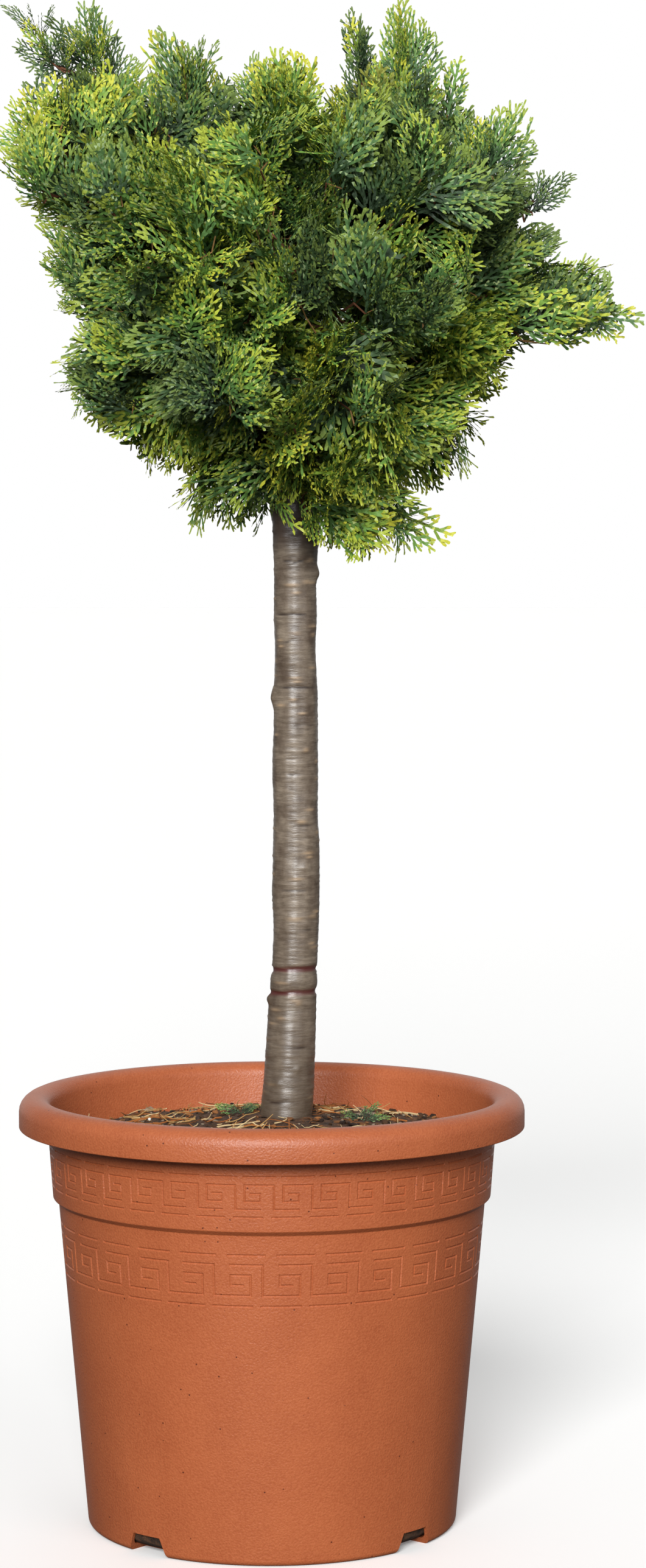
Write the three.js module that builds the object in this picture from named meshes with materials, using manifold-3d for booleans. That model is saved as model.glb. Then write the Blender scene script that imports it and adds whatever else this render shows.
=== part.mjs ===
// Dwarf hinoki cypress grown as a half-standard: one clear stem under an uneven crown of foliage masses,
// standing in a round plastic nursery pot full of compost.
// Millimetres, +Z up. The origin is the centre of the pot's flat underside.
// The plant's face looks along -Y.

import * as THREE from "three";
import { mergeVertices } from "three/addons/utils/BufferGeometryUtils.js";
import Module from "manifold-3d";

// Clearance kept between solids that touch on the real plant.
const GAP = 0.3;

// Pot: a moulded wall with an upper band, a step, a tapering body and a rolled rim that is open underneath.
const POT_HEIGHT = 239;
const POT_SEGMENTS = 32;
const WALL = 2.2;
const FLOOR = 3;
const RIM_RADIUS = 140;
const RIM_CREST_RADIUS = 131;
const RIM_SKIRT = 2;
const RIM_BOTTOM = 221.5;
const RIM_CHANNEL_TOP = 233;
const RIM_ROUNDING = 8;
const BAND_TOP_RADIUS = 125;
const BAND_BOTTOM_RADIUS = 121.3;
const STEP_TOP = 183;
const STEP_BOTTOM = 180.5;
const BODY_TOP_RADIUS = 118.2;
const BASE_RADIUS = 102.6;
const BASE_ROUNDING = 3;
const FLOOR_FILLET = 3;

// Drain notches: four trapezoids cut through the bottom corner of the pot.
const NOTCH_COUNT = 4;
const NOTCH_FIRST_AZIMUTH = 49.5;
const NOTCH_BOTTOM_WIDTH = 28;
const NOTCH_TOP_WIDTH = 19;
const NOTCH_HEIGHT = 10.8;
const NOTCH_INNER_RADIUS = 88;
const NOTCH_OUTER_RADIUS = 112;

// Compost: level round the stem, mounded a little between stem and wall.
const SOIL_LEVEL = 212;
const SOIL_MOUND = 6;
const SOIL_FLAT_RADIUS = 28;
const SOIL_WALL_GAP = 0.4;
const SOIL_RINGS = [1, 0.6];
const SOIL_WAVES = [
  { count: 3, height: 0.3, turn: 0.6 },
  { count: 7, height: 0.2, turn: 1.6 },
];

// Stem, from its flat cut at compost level to the top of the graft: height, axis x and y, diameter.
const STEM_STATIONS = [
  { z: SOIL_LEVEL + GAP, x: 7.0, y: 0, across: 32 },
  { z: 219, x: 7.7, y: 0, across: 29.2 },
  { z: 237, x: 8.6, y: 0.5, across: 28.6 },
  { z: 255, x: 9.8, y: 1, across: 27.3 },
  { z: 280, x: 11.0, y: 1.5, across: 26 },
  { z: 306, x: 12.0, y: 2, across: 24.6 },
  { z: 330, x: 13.2, y: 2.5, across: 25.4 },
  { z: 380, x: 13.4, y: 3, across: 25.2 },
  { z: 430, x: 12.8, y: 4, across: 25 },
  { z: 480, x: 13.1, y: 5, across: 23.3 },
  { z: 525, x: 12.7, y: 5.5, across: 23.5 },
  { z: 552, x: 13.1, y: 6, across: 26.4 },
  { z: 570, x: 13.4, y: 6, across: 27.2 },
  { z: 584, x: 13.6, y: 6, across: 22 },
];
const STEM_SIDES = 12;

// Leader: the grafted plant's own stem, from the graft up through the middle of the crown.
const LEADER_TIP = { x: 22, y: 16, z: 742 };
const LEADER_BASE_ACROSS = 20;
const LEADER_TIP_ACROSS = 7;
const LEADER_BEND = 14;

// Boughs: how far up the leader each starts (0 to 1), the mass it ends in, and its diameters.
const BOUGHS = [
  { name: "bough_left_low", start: 0.06, into: "fan_left", base: 11, end: 5, rise: 6 },
  { name: "bough_left", start: 0.26, into: "flank_left", base: 11, end: 5, rise: 10 },
  { name: "bough_left_high", start: 0.46, into: "lobe_outer", base: 11, end: 5, rise: 12 },
  { name: "bough_front", start: 0.4, into: "face_mid_left", base: 10, end: 5, rise: 8 },
  { name: "bough_right_low", start: 0.1, into: "skirt_right", base: 11, end: 5, rise: 10 },
  { name: "bough_right", start: 0.3, into: "arm_right", base: 12, end: 5, rise: 8 },
  { name: "bough_right_high", start: 0.58, into: "fan_right", base: 10, end: 4.5, rise: 10 },
  { name: "bough_back_low", start: 0.16, into: "nape_low_right", base: 11, end: 5, rise: 8 },
  { name: "bough_back_high", start: 0.5, into: "nape_mid", base: 10, end: 5, rise: 8 },
];
const BOUGH_SIDES = 6;
const BOUGH_STEPS = 4;

// Foliage masses: centre, full width, depth and height, clockwise lean in degrees as seen from the front,
// and how far the upper end narrows (0 is a full dome, 1 is a point).
const MASSES = [
  // Spires and tufts along the top edge, from the left
  { name: "wisp_left", at: [-129, 22, 818], size: [48, 30, 22], lean: 50, tip: 0 },
  { name: "crest_left", at: [-102, 24, 813], size: [50, 46, 54], lean: -14, tip: 0.6 },
  { name: "spire_one", at: [-48, 14, 795], size: [46, 50, 64], lean: -22, tip: 0.6 },
  { name: "spire_two", at: [3, 8, 786], size: [52, 54, 48], lean: 0, tip: 0.3 },
  { name: "spire_three", at: [47, 20, 802], size: [23, 30, 66], lean: -9, tip: 0.3 },
  { name: "spire_four", at: [74, 0, 807], size: [36, 42, 66], lean: -3, tip: 0.65 },
  { name: "spire_five", at: [98, 22, 788], size: [18, 28, 46], lean: 12, tip: 0.4 },

  // Left side, from the top down
  { name: "lobe_upper", at: [-86, -12, 780], size: [54, 92, 48], lean: 0, tip: 0 },
  { name: "lobe_outer", at: [-120, -8, 754], size: [54, 92, 72], lean: 0, tip: 0 },
  { name: "lobe_front", at: [-80, -66, 734], size: [56, 78, 54], lean: 0, tip: 0 },
  { name: "flank_left", at: [-95, -15, 700], size: [58, 92, 68], lean: 0, tip: 0 },
  { name: "fan_left", at: [-89, -18, 645], size: [50, 92, 42], lean: 0, tip: 0 },
  { name: "skirt_left", at: [-78, 6, 620], size: [70, 96, 36], lean: 18, tip: 0 },
  { name: "skirt_low_left", at: [-44, 4, 598], size: [62, 100, 40], lean: 25, tip: 0 },
  { name: "hem_left", at: [-22, -14, 572], size: [58, 88, 38], lean: -30, tip: 0 },

  // Face, from the top down
  { name: "brow_left", at: [-32, -76, 733], size: [62, 112, 60], lean: 0, tip: 0 },
  { name: "brow_mid", at: [12, -56, 748], size: [58, 108, 50], lean: 0, tip: 0 },
  { name: "brow_right", at: [62, -58, 752], size: [62, 108, 50], lean: 0, tip: 0 },
  { name: "cheek_right", at: [108, -50, 722], size: [62, 92, 46], lean: 0, tip: 0 },
  { name: "face_left", at: [-58, -86, 678], size: [58, 80, 58], lean: 0, tip: 0 },
  { name: "face_mid_left", at: [-12, -108, 676], size: [58, 78, 58], lean: 0, tip: 0 },
  { name: "face_mid", at: [36, -110, 696], size: [58, 78, 58], lean: 0, tip: 0 },
  { name: "face_mid_right", at: [78, -94, 680], size: [58, 80, 56], lean: 0, tip: 0 },
  { name: "belly_left", at: [-44, -82, 631], size: [62, 82, 46], lean: 0, tip: 0 },
  { name: "belly_mid", at: [4, -102, 628], size: [60, 80, 52], lean: 0, tip: 0 },
  { name: "belly_right", at: [52, -98, 637], size: [62, 80, 52], lean: 0, tip: 0 },
  { name: "chin", at: [32, -72, 600], size: [80, 84, 42], lean: 0, tip: 0 },
  { name: "hem_front", at: [32, -42, 576], size: [80, 70, 38], lean: 0, tip: 0 },
  { name: "drop_front", at: [51, -42, 556], size: [54, 50, 40], lean: 15, tip: 0 },

  // Right side, from the top down
  { name: "fan_right", at: [119, 0, 756], size: [42, 74, 50], lean: 6, tip: 0 },
  { name: "prong_right", at: [141, 12, 738], size: [26, 50, 54], lean: 82, tip: 0.4 },
  { name: "gold_right", at: [130, -14, 705], size: [54, 74, 28], lean: 0, tip: 0 },
  { name: "arm_right", at: [131, 2, 675], size: [58, 80, 38], lean: 9, tip: 0 },
  { name: "hand_right", at: [170, 0, 670], size: [54, 50, 68], lean: 107, tip: 0.55 },
  { name: "gold_low_right", at: [112, -46, 653], size: [50, 70, 34], lean: 0, tip: 0 },
  { name: "flank_low_right", at: [102, -6, 635], size: [48, 94, 36], lean: 0, tip: 0 },
  { name: "skirt_right", at: [84, 4, 603], size: [60, 106, 50], lean: -20, tip: 0 },
  { name: "drop_right", at: [79, -8, 554], size: [44, 44, 20], lean: 22, tip: 0 },

  // Back, from the top down
  { name: "nape_top_left", at: [-74, 62, 772], size: [86, 104, 68], lean: 0, tip: 0 },
  { name: "nape_top_mid", at: [-8, 62, 772], size: [88, 122, 70], lean: 0, tip: 0 },
  { name: "nape_top_right", at: [64, 60, 768], size: [88, 118, 68], lean: 0, tip: 0 },
  { name: "nape_left", at: [-82, 72, 708], size: [82, 104, 78], lean: 0, tip: 0 },
  { name: "nape_mid", at: [-3, 98, 712], size: [96, 98, 92], lean: 0, tip: 0 },
  { name: "nape_right", at: [84, 78, 704], size: [90, 104, 84], lean: 0, tip: 0 },
  { name: "nape_low_left", at: [-46, 76, 643], size: [92, 104, 70], lean: 0, tip: 0 },
  { name: "nape_low_right", at: [46, 78, 645], size: [96, 104, 76], lean: 0, tip: 0 },
  { name: "nape_hem", at: [6, 46, 592], size: [96, 92, 50], lean: 0, tip: 0 },
];
const BUMP_DEPTH = 0.05;
const BUMP_WAVES = 4;
const BUMP_FREQUENCY = 4.5;
const SLENDER_MASS = 47;
const SLENDER_DETAIL = 2;
const MASS_DETAIL = 3;

// Colours and surfaces
const POT_MATERIAL = { color: 0xc4673f, roughness: 0.55, metalness: 0 };
const SOIL_MATERIAL = { color: 0x4a3a2a, roughness: 1, metalness: 0 };
const BARK_MATERIAL = { color: 0x6b5b50, roughness: 0.9, metalness: 0 };
const TWIG_MATERIAL = { color: 0x6a4532, roughness: 0.9, metalness: 0 };
const FOLIAGE_GREEN = { color: 0x3f6b2e, roughness: 0.7, metalness: 0 };

const wasm = await Module();
wasm.setup();

// Repeatable random numbers from 0 to 1 for one named piece.
function randomFor(name) {
  let state = 2166136261;
  for (const letter of name) {
    state = Math.imul(state ^ letter.charCodeAt(0), 16777619);
  }
  return () => {
    state = (state + 0x6d2b79f5) | 0;
    let mixed = Math.imul(state ^ (state >>> 15), 1 | state);
    mixed = (mixed + Math.imul(mixed ^ (mixed >>> 7), 61 | mixed)) ^ mixed;
    return ((mixed ^ (mixed >>> 14)) >>> 0) / 4294967296;
  };
}

// A closed three.js geometry as a solid that can be cut.
function solidOf(geometry) {
  const bare = geometry.clone();
  for (const name of Object.keys(bare.attributes)) {
    if (name !== "position") bare.deleteAttribute(name);
  }
  const merged = mergeVertices(bare, 1e-4);
  return new wasm.Manifold(
    new wasm.Mesh({
      numProp: 3,
      vertProperties: merged.attributes.position.array,
      triVerts: new Uint32Array(merged.index.array),
    }),
  );
}

// The largest piece of a solid that a cut may have split.
function largestPiece(solid) {
  return solid.decompose().reduce((best, piece) => (piece.volume() > best.volume() ? piece : best));
}

function meshOf(name, solid, material) {
  const cut = solid.getMesh();
  const geometry = new THREE.BufferGeometry();
  geometry.setAttribute("position", new THREE.BufferAttribute(new Float32Array(cut.vertProperties), 3));
  geometry.setIndex(new THREE.BufferAttribute(new Uint32Array(cut.triVerts), 1));
  geometry.computeVertexNormals();
  const mesh = new THREE.Mesh(geometry, new THREE.MeshStandardMaterial(material));
  mesh.name = name;
  return mesh;
}

// A body turned round the Z axis from [radius, height] pairs that start and end on the axis.
function turned(profile) {
  const points = profile.map(([radius, height]) => new THREE.Vector2(radius, height));
  return new THREE.LatheGeometry(points, POT_SEGMENTS).rotateX(Math.PI / 2);
}

// The inner face of the pot's wall, drawn in by an extra amount.
function innerWall(drawnIn) {
  const inset = WALL + drawnIn;
  return [
    [BASE_RADIUS - BASE_ROUNDING - inset, FLOOR + drawnIn],
    [BASE_RADIUS - inset, FLOOR + FLOOR_FILLET],
    [BODY_TOP_RADIUS - inset, STEP_BOTTOM],
    [BAND_BOTTOM_RADIUS - inset, STEP_TOP + 1],
  ];
}

function potSolid() {
  const outside = [
    [0, 0],
    [BASE_RADIUS - BASE_ROUNDING, 0],
    [BASE_RADIUS, BASE_ROUNDING],
    [BODY_TOP_RADIUS, STEP_BOTTOM],
    [BAND_BOTTOM_RADIUS, STEP_TOP],
    [BAND_TOP_RADIUS, RIM_CHANNEL_TOP],
  ];
  const rim = [
    [RIM_RADIUS - RIM_SKIRT, RIM_CHANNEL_TOP],
    [RIM_RADIUS - RIM_SKIRT, RIM_BOTTOM],
    [RIM_RADIUS, RIM_BOTTOM + 1],
    [RIM_RADIUS, POT_HEIGHT - RIM_ROUNDING],
    [RIM_RADIUS - RIM_ROUNDING / 3, POT_HEIGHT - RIM_ROUNDING / 4],
    [RIM_CREST_RADIUS, POT_HEIGHT],
    [BAND_TOP_RADIUS, POT_HEIGHT - RIM_ROUNDING / 4],
    [BAND_TOP_RADIUS - WALL, POT_HEIGHT - RIM_ROUNDING],
  ];
  const inside = innerWall(0).reverse();
  let pot = solidOf(turned([...outside, ...rim, ...inside, [0, FLOOR]]));
  const trapezoid = new THREE.Shape([
    new THREE.Vector2(-NOTCH_BOTTOM_WIDTH / 2, -1),
    new THREE.Vector2(NOTCH_BOTTOM_WIDTH / 2, -1),
    new THREE.Vector2(NOTCH_BOTTOM_WIDTH / 2, 0),
    new THREE.Vector2(NOTCH_TOP_WIDTH / 2, NOTCH_HEIGHT),
    new THREE.Vector2(-NOTCH_TOP_WIDTH / 2, NOTCH_HEIGHT),
    new THREE.Vector2(-NOTCH_BOTTOM_WIDTH / 2, 0),
  ]);
  const depth = NOTCH_OUTER_RADIUS - NOTCH_INNER_RADIUS;
  for (let i = 0; i < NOTCH_COUNT; i++) {
    const notch = new THREE.ExtrudeGeometry(trapezoid, { depth, bevelEnabled: false });
    notch.rotateX(Math.PI / 2);
    notch.translate(0, -NOTCH_INNER_RADIUS, 0);
    notch.rotateZ(THREE.MathUtils.degToRad(NOTCH_FIRST_AZIMUTH) + (i * 2 * Math.PI) / NOTCH_COUNT);
    pot = pot.subtract(solidOf(notch));
  }
  return pot;
}

// Compost that fills the pot up to its level, with low mounds between the flat round the stem and the wall.
function soilSolid() {
  const wall = innerWall(SOIL_WALL_GAP);
  const edgeRadius = BAND_BOTTOM_RADIUS - WALL;
  const rings = SOIL_RINGS.map((share) => [edgeRadius * share, SOIL_LEVEL]);
  const top = [...rings, [SOIL_FLAT_RADIUS, SOIL_LEVEL], [0, SOIL_LEVEL]];
  const geometry = turned([[0, FLOOR + SOIL_WALL_GAP], ...wall, ...top]);
  const position = geometry.attributes.position;
  for (let i = 0; i < position.count; i++) {
    const radius = Math.hypot(position.getX(i), position.getY(i));
    const onTop = position.getZ(i) > SOIL_LEVEL - 1;
    if (onTop && radius > SOIL_FLAT_RADIUS + 1 && radius < edgeRadius - 1) {
      const round = Math.atan2(position.getY(i), position.getX(i));
      let mound = 0.5;
      for (const wave of SOIL_WAVES) {
        mound += wave.height * Math.sin(wave.count * round + wave.turn);
      }
      position.setZ(i, SOIL_LEVEL + SOIL_MOUND * mound);
    }
  }
  return solidOf(geometry);
}

// A tapering limb: rings of points round a smooth curve, closed by a flat cut at each end.
function limbGeometry(curve, radiusAt, sides, steps) {
  const frames = curve.computeFrenetFrames(steps, false);
  const positions = [];
  const index = [];
  for (let i = 0; i <= steps; i++) {
    const share = i / steps;
    const centre = curve.getPoint(share);
    for (let j = 0; j < sides; j++) {
      const angle = (j / sides) * 2 * Math.PI;
      const point = centre.clone();
      point.addScaledVector(frames.normals[i], Math.cos(angle) * radiusAt(share));
      point.addScaledVector(frames.binormals[i], Math.sin(angle) * radiusAt(share));
      positions.push(...point.toArray());
    }
  }
  for (let i = 0; i < steps; i++) {
    for (let j = 0; j < sides; j++) {
      const a = i * sides + j;
      const b = i * sides + ((j + 1) % sides);
      index.push(a, b, b + sides, a, b + sides, a + sides);
    }
  }
  for (let j = 1; j < sides - 1; j++) {
    const top = steps * sides;
    index.push(0, j + 1, j, top, top + j, top + j + 1);
  }
  const geometry = new THREE.BufferGeometry();
  geometry.setAttribute("position", new THREE.Float32BufferAttribute(positions, 3));
  geometry.setIndex(index);
  return geometry;
}

// The stem's rings lie level, one at each station, so that its foot is a flat cut.
function stemGeometry(extra) {
  const position = [];
  const geometry = new THREE.CylinderGeometry(1, 1, 1, STEM_SIDES, STEM_STATIONS.length - 1);
  geometry.rotateX(Math.PI / 2);
  const source = geometry.attributes.position;
  for (let i = 0; i < source.count; i++) {
    const share = source.getZ(i) + 0.5;
    const station = STEM_STATIONS[Math.round(share * (STEM_STATIONS.length - 1))];
    const radius = station.across / 2 + extra;
    position.push(station.x + source.getX(i) * radius, station.y + source.getY(i) * radius, station.z);
  }
  geometry.setAttribute("position", new THREE.Float32BufferAttribute(position, 3));
  return geometry;
}

const graft = STEM_STATIONS[STEM_STATIONS.length - 1];
const leaderFoot = new THREE.Vector3(graft.x, graft.y, graft.z + GAP);
const leaderCurve = new THREE.QuadraticBezierCurve3(
  leaderFoot,
  new THREE.Vector3(graft.x - LEADER_BEND, graft.y, (graft.z + LEADER_TIP.z) / 2),
  new THREE.Vector3(LEADER_TIP.x, LEADER_TIP.y, LEADER_TIP.z),
);

function taper(base, end, extra) {
  return (share) => THREE.MathUtils.lerp(base, end, share) / 2 + extra;
}

function leaderSolid(extra) {
  const radius = taper(LEADER_BASE_ACROSS, LEADER_TIP_ACROSS, extra);
  return solidOf(limbGeometry(leaderCurve, radius, BOUGH_SIDES, BOUGH_STEPS));
}

// Each bough leaves the leader, lifts by its rise half way along, and heads for the middle of its mass.
function boughSolid(bough, extra) {
  const foot = leaderCurve.getPoint(bough.start);
  const target = MASSES.find((mass) => mass.name === bough.into);
  const middle = new THREE.Vector3(...target.at);
  const half = foot.clone().lerp(middle, 0.5);
  half.z += bough.rise;
  const curve = new THREE.QuadraticBezierCurve3(foot, half, middle);
  return solidOf(limbGeometry(curve, taper(bough.base, bough.end, extra), BOUGH_SIDES, BOUGH_STEPS));
}

// The turn and scale that carry a unit sphere to a mass's ellipsoid.
function massTransform(mass) {
  const turn = new THREE.Quaternion().setFromAxisAngle(
    new THREE.Vector3(0, 1, 0),
    THREE.MathUtils.degToRad(mass.lean),
  );
  const half = new THREE.Vector3(...mass.size).multiplyScalar(0.5);
  return new THREE.Matrix4().compose(new THREE.Vector3(...mass.at), turn, half);
}

// An uneven rounded solid: a sphere of flat faces whose points move in and out with a few seeded waves.
function massGeometry(mass, grow) {
  const random = randomFor(mass.name);
  const waves = [];
  for (let i = 0; i < BUMP_WAVES; i++) {
    const axis = new THREE.Vector3(random() - 0.5, random() - 0.5, random() - 0.5).normalize();
    waves.push({ axis, phase: random() * 2 * Math.PI });
  }
  const detail = Math.min(...mass.size) < SLENDER_MASS ? SLENDER_DETAIL : MASS_DETAIL;
  const geometry = new THREE.OctahedronGeometry(1, detail);
  const position = geometry.attributes.position;
  const point = new THREE.Vector3();
  for (let i = 0; i < position.count; i++) {
    point.fromBufferAttribute(position, i).normalize();
    let reach = 1;
    for (const wave of waves) {
      reach += BUMP_DEPTH * Math.sin(BUMP_FREQUENCY * point.dot(wave.axis) + wave.phase);
    }
    const narrow = 1 - mass.tip * Math.max(0, point.z);
    const out = reach * grow;
    position.setXYZ(i, point.x * narrow * out, point.y * narrow * out, point.z * out);
  }
  return geometry.applyMatrix4(massTransform(mass));
}

// How far a mass reaches from its centre along a direction.
function reachAlong(mass, direction) {
  const inverse = massTransform(mass).invert();
  const origin = new THREE.Vector3(...mass.at);
  const there = origin.clone().add(direction).applyMatrix4(inverse);
  return 1 / there.length();
}

// Two masses that would overlap are parted by a flat cut across the line between their centres.
function partMasses(solids) {
  for (let i = 0; i < MASSES.length; i++) {
    for (let j = i + 1; j < MASSES.length; j++) {
      const first = MASSES[i];
      const second = MASSES[j];
      if (solids.get(first.name).intersect(solids.get(second.name)).isEmpty()) continue;
      const from = new THREE.Vector3(...first.at);
      const across = new THREE.Vector3(...second.at).sub(from);
      const distance = across.length();
      const direction = across.divideScalar(distance);
      const near = reachAlong(first, direction);
      const far = reachAlong(second, direction);
      const middle = from.addScaledVector(direction, (distance * near) / (near + far));
      const offset = middle.dot(direction);
      const back = direction.clone().negate();
      solids.set(first.name, solids.get(first.name).trimByPlane(back.toArray(), -offset + GAP / 2));
      solids.set(second.name, solids.get(second.name).trimByPlane(direction.toArray(), offset + GAP / 2));
    }
  }
}

const stem = solidOf(stemGeometry(0));
const fatStem = solidOf(stemGeometry(GAP));
const leader = largestPiece(leaderSolid(0).subtract(fatStem));
const fatLeader = leaderSolid(GAP);

const masses = new Map(MASSES.map((mass) => [mass.name, solidOf(massGeometry(mass, 1))]));
partMasses(masses);

// Boughs give way to the stem, to the leader, to the boughs before them and to the mass they end in.
const boughs = new Map();
const fatBoughs = new Map();
for (const bough of BOUGHS) {
  const target = MASSES.find((mass) => mass.name === bough.into);
  const smallest = Math.min(...target.size) / 2;
  let solid = boughSolid(bough, 0).subtract(fatStem).subtract(fatLeader);
  for (const earlier of fatBoughs.values()) {
    solid = solid.subtract(earlier);
  }
  solid = solid.subtract(solidOf(massGeometry(target, 1 + GAP / smallest)));
  boughs.set(bough.name, largestPiece(solid));
  fatBoughs.set(bough.name, boughSolid(bough, GAP));
}

// Masses are cut round every limb that passes through them, apart from the bough that ends in them.
for (const mass of MASSES) {
  let solid = masses.get(mass.name).subtract(fatStem).subtract(fatLeader);
  for (const bough of BOUGHS) {
    if (bough.into !== mass.name) solid = solid.subtract(fatBoughs.get(bough.name));
  }
  masses.set(mass.name, largestPiece(solid));
}

const plant = new THREE.Group();
plant.add(meshOf("pot", potSolid(), POT_MATERIAL));
plant.add(meshOf("soil", soilSolid(), SOIL_MATERIAL));
plant.add(meshOf("trunk", stem, BARK_MATERIAL));
plant.add(meshOf("leader", leader, TWIG_MATERIAL));
for (const [name, solid] of boughs) {
  plant.add(meshOf(name, solid, TWIG_MATERIAL));
}
for (const [name, solid] of masses) {
  plant.add(meshOf(name, solid, FOLIAGE_GREEN));
}

export default plant;
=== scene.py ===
import math
import bpy
import numpy as np
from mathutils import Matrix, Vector, geometry
from mathutils.bvhtree import BVHTree


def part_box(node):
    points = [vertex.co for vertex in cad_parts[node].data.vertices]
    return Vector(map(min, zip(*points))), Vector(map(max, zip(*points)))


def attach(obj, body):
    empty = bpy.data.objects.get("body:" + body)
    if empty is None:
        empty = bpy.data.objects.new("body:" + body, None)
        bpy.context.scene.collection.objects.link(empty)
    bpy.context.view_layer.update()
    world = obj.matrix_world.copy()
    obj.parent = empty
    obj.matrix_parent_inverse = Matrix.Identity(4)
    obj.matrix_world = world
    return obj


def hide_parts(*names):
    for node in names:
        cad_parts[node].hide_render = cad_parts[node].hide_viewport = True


# A dwarf hinoki cypress on a clear stem, in its plastic nursery pot.
# Metres throughout, +Z up, origin at the centre of the pot's underside, the plant's face towards -Y.
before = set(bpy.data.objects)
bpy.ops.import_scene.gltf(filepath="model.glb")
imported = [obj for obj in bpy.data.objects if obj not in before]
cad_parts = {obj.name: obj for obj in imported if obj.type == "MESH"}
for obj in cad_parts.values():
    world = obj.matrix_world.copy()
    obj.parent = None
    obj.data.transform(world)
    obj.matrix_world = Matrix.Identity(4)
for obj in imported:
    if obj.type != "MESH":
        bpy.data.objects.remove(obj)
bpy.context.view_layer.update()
MM = 0.001


# VIEW AND LIGHT
# A long lens two metres off looks at the plant's face from a little above the middle of its stem.
# One broad soft light stands in front, above and a little to the left. Two weak ones, on the right and high
# up behind, lift the shadows.
def colour(code):
    """Linear RGBA of an sRGB hex colour."""
    parts = [int(code[i:i + 2], 16) / 255 for i in (1, 3, 5)]
    return tuple(p / 12.92 if p <= 0.04045 else ((p + 0.055) / 1.055) ** 2.4 for p in parts) + (1.0,)


def add_node(tree, kind, values=None, links=None, stops=(), **settings):
    """A shader node with its settings, its sockets' values, the outputs that feed them and a ramp's stops."""
    made = tree.nodes.new(kind)
    for name, value in settings.items():
        setattr(made, name, value)
    for name, value in (values or {}).items():
        made.inputs[name].default_value = value
    for name, output in (links or {}).items():
        tree.links.new(output, made.inputs[name])
    for k, (position, code) in enumerate(stops):
        made.color_ramp.elements[k].position = position
        made.color_ramp.elements[k].color = colour(code)
    return made


def put_in_scene(name, data):
    """An object of that name and data, in the scene."""
    made = bpy.data.objects.new(name, data)
    bpy.context.scene.collection.objects.link(made)
    return made


LENS = 85.4
CAMERA_PLACE = (0.0283, -2.050, 0.534)
CAMERA_TILT_DOWN = 0.06
camera = put_in_scene("camera", bpy.data.cameras.new("camera"))
camera.data.lens = LENS
camera.location = CAMERA_PLACE
camera.rotation_euler = (math.pi / 2 - CAMERA_TILT_DOWN, 0, 0)
bpy.context.scene.camera = camera
bpy.context.scene.view_settings.view_transform = "Standard"

SUNS = [
    # name, where it shines from, strength, angle of its disc in degrees
    ("key_light", (-0.13, -0.95, 0.43), 3.85, 24),
    ("fill_light", (0.60, -0.90, 0.45), 0.5, 40),
    ("top_light", (0.10, 0.60, 0.90), 0.35, 60),
]
for name, place, strength, disc in SUNS:
    sun = put_in_scene(name, bpy.data.lights.new(name, "SUN"))
    sun.data.energy = strength
    sun.data.angle = math.radians(disc)
    sun.rotation_euler = Vector(place).to_track_quat("Z", "Y").to_euler()

# The studio is grey all round, with one white screen behind the plant, and dark below the table's edge.
# Each pair says where one fades into the other, as the backward or upward share of a direction.
SCREEN_WHITE = 1.0
STUDIO_GREY = 0.25
UNDER_SHARE = 0.28
SCREEN_SIDES = (0.80, 0.93)
SCREEN_TOP = (0.24, 0.42)
TABLE_EDGE = (-0.15, -0.03)
world = bpy.data.worlds.new("studio")
bpy.context.scene.world = world
world.use_nodes = True
studio = world.node_tree
studio.nodes.clear()
direction = add_node(studio, "ShaderNodeTexCoord")
aim = add_node(studio, "ShaderNodeSeparateXYZ", links={"Vector": direction.outputs["Generated"]})
behind = add_node(
    studio, "ShaderNodeMapRange", {"From Min": SCREEN_SIDES[0], "From Max": SCREEN_SIDES[1]},
    {"Value": aim.outputs["Y"]})
low = add_node(
    studio, "ShaderNodeMapRange",
    {"From Min": SCREEN_TOP[0], "From Max": SCREEN_TOP[1], "To Min": 1.0, "To Max": 0.0},
    {"Value": aim.outputs["Z"]})
screen = add_node(
    studio, "ShaderNodeMath", links={0: behind.outputs["Result"], 1: low.outputs["Result"]},
    operation="MULTIPLY")
wall = add_node(
    studio, "ShaderNodeMapRange", {"To Min": STUDIO_GREY, "To Max": SCREEN_WHITE},
    {"Value": screen.outputs["Value"]})
under = add_node(
    studio, "ShaderNodeMapRange",
    {"From Min": TABLE_EDGE[0], "From Max": TABLE_EDGE[1], "To Min": UNDER_SHARE, "To Max": 1.0},
    {"Value": aim.outputs["Z"]})
lit = add_node(
    studio, "ShaderNodeMath", links={0: wall.outputs["Result"], 1: under.outputs["Result"]},
    operation="MULTIPLY")
glow = add_node(studio, "ShaderNodeBackground", {"Color": (1, 1, 1, 1)}, {"Strength": lit.outputs["Value"]})
add_node(studio, "ShaderNodeOutputWorld", links={"Surface": glow.outputs["Background"]})

# Floor: a pale painted board that throws no light back up on the plant, and shines a little of its own.
FLOOR_SIDE = 80.0
FLOOR_GLOW = 0.12
floor_mesh = bpy.data.meshes.new("floor")
half = FLOOR_SIDE / 2
floor_corners = [(-half, -half, 0), (half, -half, 0), (half, half, 0), (-half, half, 0)]
floor_mesh.from_pydata(floor_corners, [], [(0, 1, 2, 3)])
floor = put_in_scene("floor", floor_mesh)
floor.visible_diffuse = False
floor.visible_glossy = False


def new_material(name, values):
    """A node material, its tree and its Principled shader with the values of its sockets."""
    made = bpy.data.materials.new(name)
    made.use_nodes = True
    tree = made.node_tree
    tree.nodes.clear()
    shader = add_node(tree, "ShaderNodeBsdfPrincipled", values)
    add_node(tree, "ShaderNodeOutputMaterial", links={"Surface": shader.outputs["BSDF"]})
    return made, tree, shader


painted_board, tree, shader = new_material("painted_board_matt_white", {
    "Base Color": colour("#fcfcfb"), "Roughness": 0.9, "Specular IOR Level": 0.1,
    "Emission Color": colour("#ffffff"), "Emission Strength": FLOOR_GLOW})
floor_mesh.materials.append(painted_board)


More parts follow.
